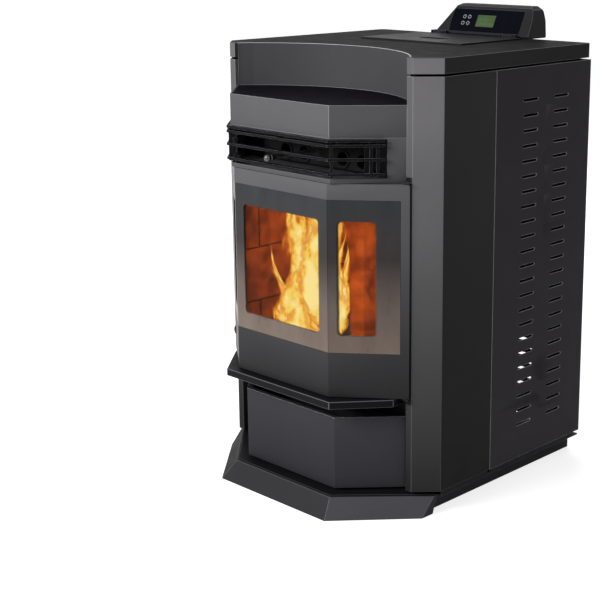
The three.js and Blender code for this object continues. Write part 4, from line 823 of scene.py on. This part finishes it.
def vane_tree():
    """A squirrel-cage wheel: curved vanes spaced round a circle."""
    group, t, given, out = node_tree(
        "blower_vanes", Vanes=("Int", 30), Radius=("Float", 0.050), Width=("Float", 0.055),
        Chord=("Float", 0.012), Sheet=("Float", 0.0008), Pitch=("Float", 0.7),
        Finish=("Material", None))
    vanes = given["Vanes"]
    ring = t.add("GeometryNodeMeshCircle", {"Vertices": vanes, "Radius": given["Radius"]})
    arc = t.add("GeometryNodeCurveArc", {"Resolution": 7, "Radius": given["Chord"],
                                         "Sweep Angle": 1.25})
    tip = t.add("ShaderNodeCombineXYZ", {"Z": given["Width"]})
    strip = t.add("GeometryNodeCurvePrimitiveLine", {"Start": (0, 0, 0), "End": tip})
    blade = t.add("GeometryNodeCurveToMesh", {"Curve": strip, "Profile Curve": arc})
    solid = t.add("GeometryNodeExtrudeMesh",
                  {"Mesh": blade, "Offset Scale": given["Sheet"], "Individual": False})
    both = t.joined(solid.outputs["Mesh"], t.add("GeometryNodeFlipFaces", {"Mesh": blade}))
    step = t.maths("DIVIDE", t.add("GeometryNodeInputIndex"), vanes)
    around = t.plus(t.times(step, 2 * math.pi), given["Pitch"])
    turn = t.add("ShaderNodeCombineXYZ", {"Z": around})
    real = t.copies(ring, both, turn)
    welded = t.add("GeometryNodeMergeByDistance", {"Geometry": real, "Distance": 0.00001})
    t.feed(out, t.coated(welded, given["Finish"]))
    return group


def point_cloud(name, places, facing=None):
    mesh = bpy.data.meshes.new(name)
    mesh.from_pydata([tuple(p) for p in places], [], [])
    if facing:
        layer = mesh.attributes.new("facing", "FLOAT_VECTOR", "POINT")
        for item in layer.data:
            item.vector = facing
    return linked(name, mesh)


def outward(obj):
    """The object welded, with its faces turned outwards."""
    bm = bmesh.new()
    bm.from_mesh(obj.data)
    bmesh.ops.remove_doubles(bm, verts=bm.verts, dist=1e-6)
    bmesh.ops.recalc_face_normals(bm, faces=bm.faces)
    bm.to_mesh(obj.data)
    bm.free()
    shaded(obj.data)
    return obj


mouths = grown(point_cloud("tube_mouths", [(x, MOUTH_Y, z) for x, z in TUBES]), mouth_tree(),
               Bore=0.0128, Wall=0.0010, Length=0.168, Collar=0.0042, Finish=paint["inner_paint"])
settle(outward(mouths), "root", "dark_paint")

screw_heads = screw_tree()
ZINC, BLACKENED = (zinc, "steel"), (paint["blackened_screw"], "black_paint")


def screws(name, places, radius, height, kind, body="root", facing=ALONG_Y):
    finish, slot = kind
    obj = grown(point_cloud(name, places, facing), screw_heads, Head_Radius=radius,
                Head_Height=height, Finish=finish, Recess=paint["black_paint"])
    shaded(obj.data)
    settle(obj, body, slot)


rear_spots = [(x, z) for x in (-0.262, -0.13, 0.0, 0.13, 0.262) for z in (0.056, 0.778)]
rear_spots += [(x, z) for x in (-0.262, 0.262) for z in (0.235, 0.415, 0.595)]
screws("rear_panel_screws", [(x, REAR_FACE, z) for x, z in rear_spots], 0.0038, 0.0018, BLACKENED)
intake_turns = (0.5, 2.6, 4.7)
screws("intake_screws", [(INTAKE[0] + 0.027 * math.cos(a), REAR_FACE + 0.0040,
                          INTAKE[2] + 0.027 * math.sin(a)) for a in intake_turns],
       0.0024, 0.0012, ZINC)
screws("inlet_screws", [(x, REAR_FACE + 0.003, 0.075) for x in (0.1675, 0.2225)],
       0.0022, 0.0011, ZINC)
for level, bracket_z in (("lower", 0.2135), ("upper", 0.6140)):
    screws(f"bracket_screw_{level}", [(0.2290, POST_PLANE - 0.0018, bracket_z)],
           0.0022, 0.0010, BLACKENED, facing=(0, -1, 0))
screws("retainer_screws", [(x, DOOR_FRONT + 0.0068, z) for x in (-0.109, 0.109)
                           for z in (0.312, 0.44, 0.568)], 0.0028, 0.0012, ZINC, "door")

# ---------- fans, motors and igniter ----------
to_blower = Matrix.Translation((0.074, FAN_Y, FAN_Z)) @ Matrix.Rotation(math.pi / 2, 4, "Y")
to_exhaust = Matrix.Translation((-0.103, FAN_Y, FAN_Z)) @ Matrix.Rotation(-math.pi / 2, 4, "Y")

cage = grown(point_cloud("convection_vanes", [ORIGIN]), vane_tree(), Vanes=30, Radius=0.0465,
             Width=0.0560, Chord=0.0085, Sheet=0.0008, Finish=steel)
cage.data.transform(to_blower)
hub = [(0, -0.022), (0.0038, -0.022), (0.0038, -0.004), (0.009, -0.004), (0.009, 0.0),
       (0.0575, 0.0), (0.0578, 0.0010), (0.0578, 0.0035), (0.0570, 0.0035), (0.0570, 0.0016),
       (0.014, 0.0022), (0.012, 0.028), (0, 0.028)]
rim = [(0.0460, 0.0552), (0.0575, 0.0552), (0.0578, 0.0562), (0.0578, 0.0577), (0.0460, 0.0577)]
wheel = turned(hub, ORIGIN, ALONG_Z, 64)
wheel_mesh = mesh_of(turned(rim, ORIGIN, ALONG_Z, 64, True, wheel))
wheel_mesh.transform(to_blower)
shown("convection_wheel_finished", wheel_mesh, steel, "convection_fan", "steel",
      "convection_wheel")
settle(outward(cage), "convection_fan", "steel")

impeller = turned([(0, -0.022), (0.0038, -0.022), (0.0038, 0.0), (0.0535, 0.0), (0.0538, 0.0008),
                   (0.0535, 0.0022), (0.010, 0.0028), (0.0088, 0.0215), (0, 0.0215)],
                  ORIGIN, ALONG_Z, 64)
IMPELLER_BLADES = 8
for blade in range(IMPELLER_BLADES):
    spin = Matrix.Rotation(2 * math.pi * blade / IMPELLER_BLADES, 4, "Z")
    for v in bmesh.ops.create_cube(impeller, size=1.0)["verts"]:
        outer = v.co.x > 0
        rise = 0.0295 if v.co.z > 0 else 0.0022
        v.co = spin @ Vector((0.0525 if outer else 0.0085,
                              (0.006 if outer else 0.0) + v.co.y * 0.0016,
                              rise * 0.9 if outer else rise))
impeller_mesh = mesh_of(impeller)
impeller_mesh.transform(to_exhaust)
shown("exhaust_impeller_finished", impeller_mesh, hot_steel, "exhaust_fan", "steel",
      "exhaust_impeller")


def motor(node, start, end, radius, foot_start, foot_end, foot_top):
    """A shaded-pole motor: finned can with rounded ends, bearing boss and sheet foot."""
    profile = [(0.0048, start), (radius * 0.55, start), (radius * 0.93, start + 0.0012),
               (radius, start + 0.004)]
    along = start + 0.008
    while along < end - 0.010:
        profile += [(radius, along), (radius - 0.0018, along + 0.0006),
                    (radius - 0.0018, along + 0.0022), (radius, along + 0.0028)]
        along += 0.0056
    profile += [(radius, end - 0.004), (radius * 0.93, end - 0.0012), (radius * 0.55, end),
                (0.0048, end)]
    bm = turned(profile, (0, FAN_Y, FAN_Z), ALONG_X, 48, True)
    foot = ((foot_start, foot_end), (0.067, 0.105), (0.0362, foot_top))
    for v in bmesh.ops.create_cube(bm, size=1.0)["verts"]:
        v.co = Vector(low + (v.co[i] + 0.5) * (high - low) for i, (low, high) in enumerate(foot))
    shown(node + "_finished", mesh_of(bm), paint["black_paint"], "root", "black_paint", node)


motor("convection_motor", 0.0205, 0.0655, 0.0318, 0.023, 0.055, 0.1215)
motor("exhaust_motor", -0.0945, -0.0455, 0.0298, -0.086, -0.054, 0.1235)
heater = [(0, -0.0415), (0.0038, -0.0415), (0.0048, -0.0400), (0.0048, -0.004), (0.0042, -0.0035),
          (0.0042, 0.026), (0.0048, 0.0265), (0.0048, 0.0350), (0, 0.0355)]
shown("igniter_finished", mesh_of(turned(heater, IGNITER, ALONG_Y, 24)), hot_steel, "root",
      "steel", "igniter")


# ---------- the fire ----------
def tongue(bm, uv, root, foot, height, width, lean, facing, curl, phase):
    """One lens-shaped tongue of fire, closed at both ends.

    It leaves the pot at root and soon stands over foot.
    """
    rows, around = 26, 18
    flatness = 0.6   # depth to width
    across = Vector((math.cos(facing), math.sin(facing), 0.0))
    depth = Vector((-math.sin(facing), math.cos(facing), 0.0))
    rings = []
    for i in range(rows + 1):
        up = i / rows
        swell = math.sin(math.pi * min(1.0, up * 0.92 + 0.10)) ** 0.75 * (1.0 - up) ** 0.35 + 0.02
        sway = curl * math.sin(2.6 * up * math.pi + phase) * up
        centre = foot.lerp(root, (1.0 - up) ** 9) + Vector((0, 0, height * up))
        centre = centre + lean * (up ** 1.5) + across * sway
        centre.z = min(centre.z, FIRE_CEILING)
        half_width = width * 0.5 * swell
        ring = []
        for k in range(around):
            turn = 2 * math.pi * k / around
            x, y = math.cos(turn), math.sin(turn)
            place = centre + across * (x * half_width) + depth * (y * half_width * flatness)
            ring.append((bm.verts.new(place), ((x + 1) / 2, up)))
        rings.append(ring)
        if centre.z > FIRE_CEILING - 1e-5:
            break

    def skin(corners):
        face = bm.faces.new([vert for vert, _ in corners])
        for loop, (_, spot) in zip(face.loops, corners):
            loop[uv].uv = spot
        return face

    for low, high in zip(rings, rings[1:]):
        for k in range(around):
            j = (k + 1) % around
            skin((low[k], low[j], high[j], high[k])).smooth = True
    skin(rings[0][::-1])
    skin(rings[-1])


TONGUES = (
    # along, forward, foot z, height, width, lean along, facing, curl, phase
    (-0.064, 0.000, 0.268, 0.365, 0.098, -0.006, 0.0, 0.010, 0.3),
    (-0.050, 0.010, 0.268, 0.345, 0.092, 0.004, 0.1, 0.012, 2.3),
    (-0.078, 0.006, 0.266, 0.300, 0.072, -0.004, -0.1, 0.009, 4.4),
    (-0.082, 0.012, 0.262, 0.185, 0.098, 0.004, 0.0, 0.010, 1.2),
    (-0.094, 0.018, 0.262, 0.150, 0.060, -0.020, 0.1, 0.010, 3.0),
    (-0.088, 0.004, 0.262, 0.195, 0.030, -0.042, 0.0, 0.006, 5.2),
    (-0.070, 0.022, 0.260, 0.105, 0.100, -0.006, -0.1, 0.008, 0.8),
    (-0.028, 0.000, 0.270, 0.330, 0.070, 0.006, 0.2, 0.010, 3.6),
    (-0.006, -0.004, 0.285, 0.300, 0.056, 0.002, -0.2, 0.010, 1.9),
    (0.006, 0.010, 0.275, 0.205, 0.048, 0.004, 0.0, 0.009, 5.9),
    (0.010, -0.020, 0.296, 0.150, 0.044, 0.006, 0.3, 0.007, 0.9),
)


def build_fire():
    """Tongues that leave the pot at its front left, and burning pellets in the pot."""
    bm = bmesh.new()
    uv = bm.loops.layers.uv.new("tongue")
    along_line = Vector((0.728, 0.686, 0.0))       # across the photograph, to the right
    forward_line = Vector((0.686, -0.728, 0.0))    # towards its camera
    middle = Vector((-0.020, -0.120, 0.0))
    for along, forward, low, height, width, lean, facing, curl, phase in TONGUES:
        foot = middle + along_line * along + forward_line * forward
        foot.z = low
        aside = (foot - POT_CENTRE) * Vector((1, 1, 0))
        root = POT_CENTRE + aside.normalized() * min(POT_MOUTH, aside.length)
        root.z = low
        tongue(bm, uv, root, foot, height, width, along_line * lean, VIEW_TURN + facing, curl,
               phase)
    mesh = mesh_of(bm, "fire")
    mesh.materials.append(flame)
    settle(linked("fire", mesh), "root", "refractory")

    bed = bmesh.new()
    bmesh.ops.create_circle(bed, cap_ends=True, segments=32, radius=0.030)
    bmesh.ops.translate(bed, verts=bed.verts, vec=POT_CENTRE)
    embers = grown(linked("burning_pellets", mesh_of(bed)), pellet_tree(), Density=42000.0,
                   Pellet_Radius=0.0029, Pellet_Length=0.013, Tilt=0.45, Seed=7, Finish=coal)
    settle(outward(embers), "root", "refractory")


build_fire()


# ---------- floor, backdrop, light and camera ----------
def background_rays(t):
    """1 for the rays that see the background: straight on, in a reflection or through glass."""
    ray = t.add("ShaderNodeLightPath").outputs
    seen = t.maths("MAXIMUM", ray["Is Camera Ray"], ray["Is Transmission Ray"])
    return t.maths("MAXIMUM", seen, ray["Is Glossy Ray"])


def backdrop():
    """A pale floor that curves up into a wall."""
    reach, bend_start, bend, wall_top, steps = 9.0, 3.0, 1.2, 5.0, 12
    profile = [(-reach, 0.0), (bend_start, 0.0)]
    for i in range(1, steps + 1):
        a = math.pi / 2 * i / steps
        profile.append((bend_start + bend * math.sin(a), bend * (1 - math.cos(a))))
    profile.append((bend_start + bend, wall_top))
    bm = bmesh.new()
    rows = [[bm.verts.new((x, y, z)) for x in (-reach, reach)] for y, z in profile]
    for a, b in zip(rows, rows[1:]):
        bm.faces.new((a[0], a[1], b[1], b[0])).smooth = True
    bmesh.ops.rotate(bm, verts=bm.verts, cent=ORIGIN,
                     matrix=Matrix.Rotation(VIEW_TURN, 3, "Z"))
    mesh = mesh_of(bm, "studio_floor")
    material, t = finish_tree("studio_white")
    lit = t.add("ShaderNodeBsdfDiffuse", {"Color": rgb(0.52, 0.52, 0.52)})
    strength = t.times(background_rays(t), 0.80)
    glow = t.add("ShaderNodeEmission", {"Color": rgb(1, 1, 1), "Strength": strength})
    t.end(t.add("ShaderNodeAddShader", {0: lit, 1: glow}))
    mesh.materials.append(material)
    linked("studio_floor", mesh)


def lamp(name, place, target, size, power, mirrored=True):
    data = bpy.data.lights.new(name, "AREA")
    data.shape = "RECTANGLE"
    data.size, data.size_y = size
    data.energy = power
    obj = linked(name, data)
    obj.location = place
    obj.rotation_euler = (Vector(target) - Vector(place)).to_track_quat("-Z", "Y").to_euler()
    obj.visible_glossy = mirrored


def studio():
    backdrop()
    lamp("front_softbox", (-0.7, -2.7, 1.9), (0, -0.1, 0.6), (1.6, 1.4), 104)
    lamp("right_softbox", (2.6, -1.6, 1.7), (0, 0, 0.6), (1.2, 1.6), 4)
    lamp("top_softbox", (0.1, 0.2, 2.9), (0, 0, 0.8), (1.8, 1.8), 9, mirrored=False)
    lamp("back_softbox", (-1.9, 2.5, 1.9), (0, 0, 0.5), (1.6, 1.6), 66, mirrored=False)
    world = bpy.data.worlds.new("studio_world")
    bpy.context.scene.world = world
    world.use_nodes = True
    t = Tree(world.node_tree)
    strength = t.spread(background_rays(t), 0.0, 1.0, 0.17, 1.0)
    sky = t.add("ShaderNodeBackground", {"Color": rgb(1, 1, 1), "Strength": strength})
    t.add("ShaderNodeOutputWorld", {"Surface": sky})


def photo_camera():
    """The camera fitted to the photograph: a square frame, with lengths in its pixels."""
    frame_size, focal, centre_x, centre_y = 600, 1341.2, 383.2, 240
    data = bpy.data.cameras.new("photo_camera")
    data.sensor_width = 36.0
    data.lens = focal / frame_size * 36.0
    data.shift_x = (frame_size / 2 - centre_x) / frame_size
    data.shift_y = (centre_y - frame_size / 2) / frame_size
    data.clip_start, data.clip_end = 0.05, 60
    camera = linked("photo_camera", data)
    turn, pitch = math.radians(43.301), math.radians(12.974)
    camera.location = (1.7444, -1.8643, 1.0291)
    camera.rotation_euler = (math.pi / 2 - pitch, 0.0, turn)
    bpy.context.scene.camera = camera


studio()
photo_camera()
bpy.context.scene.view_settings.view_transform = "Standard"
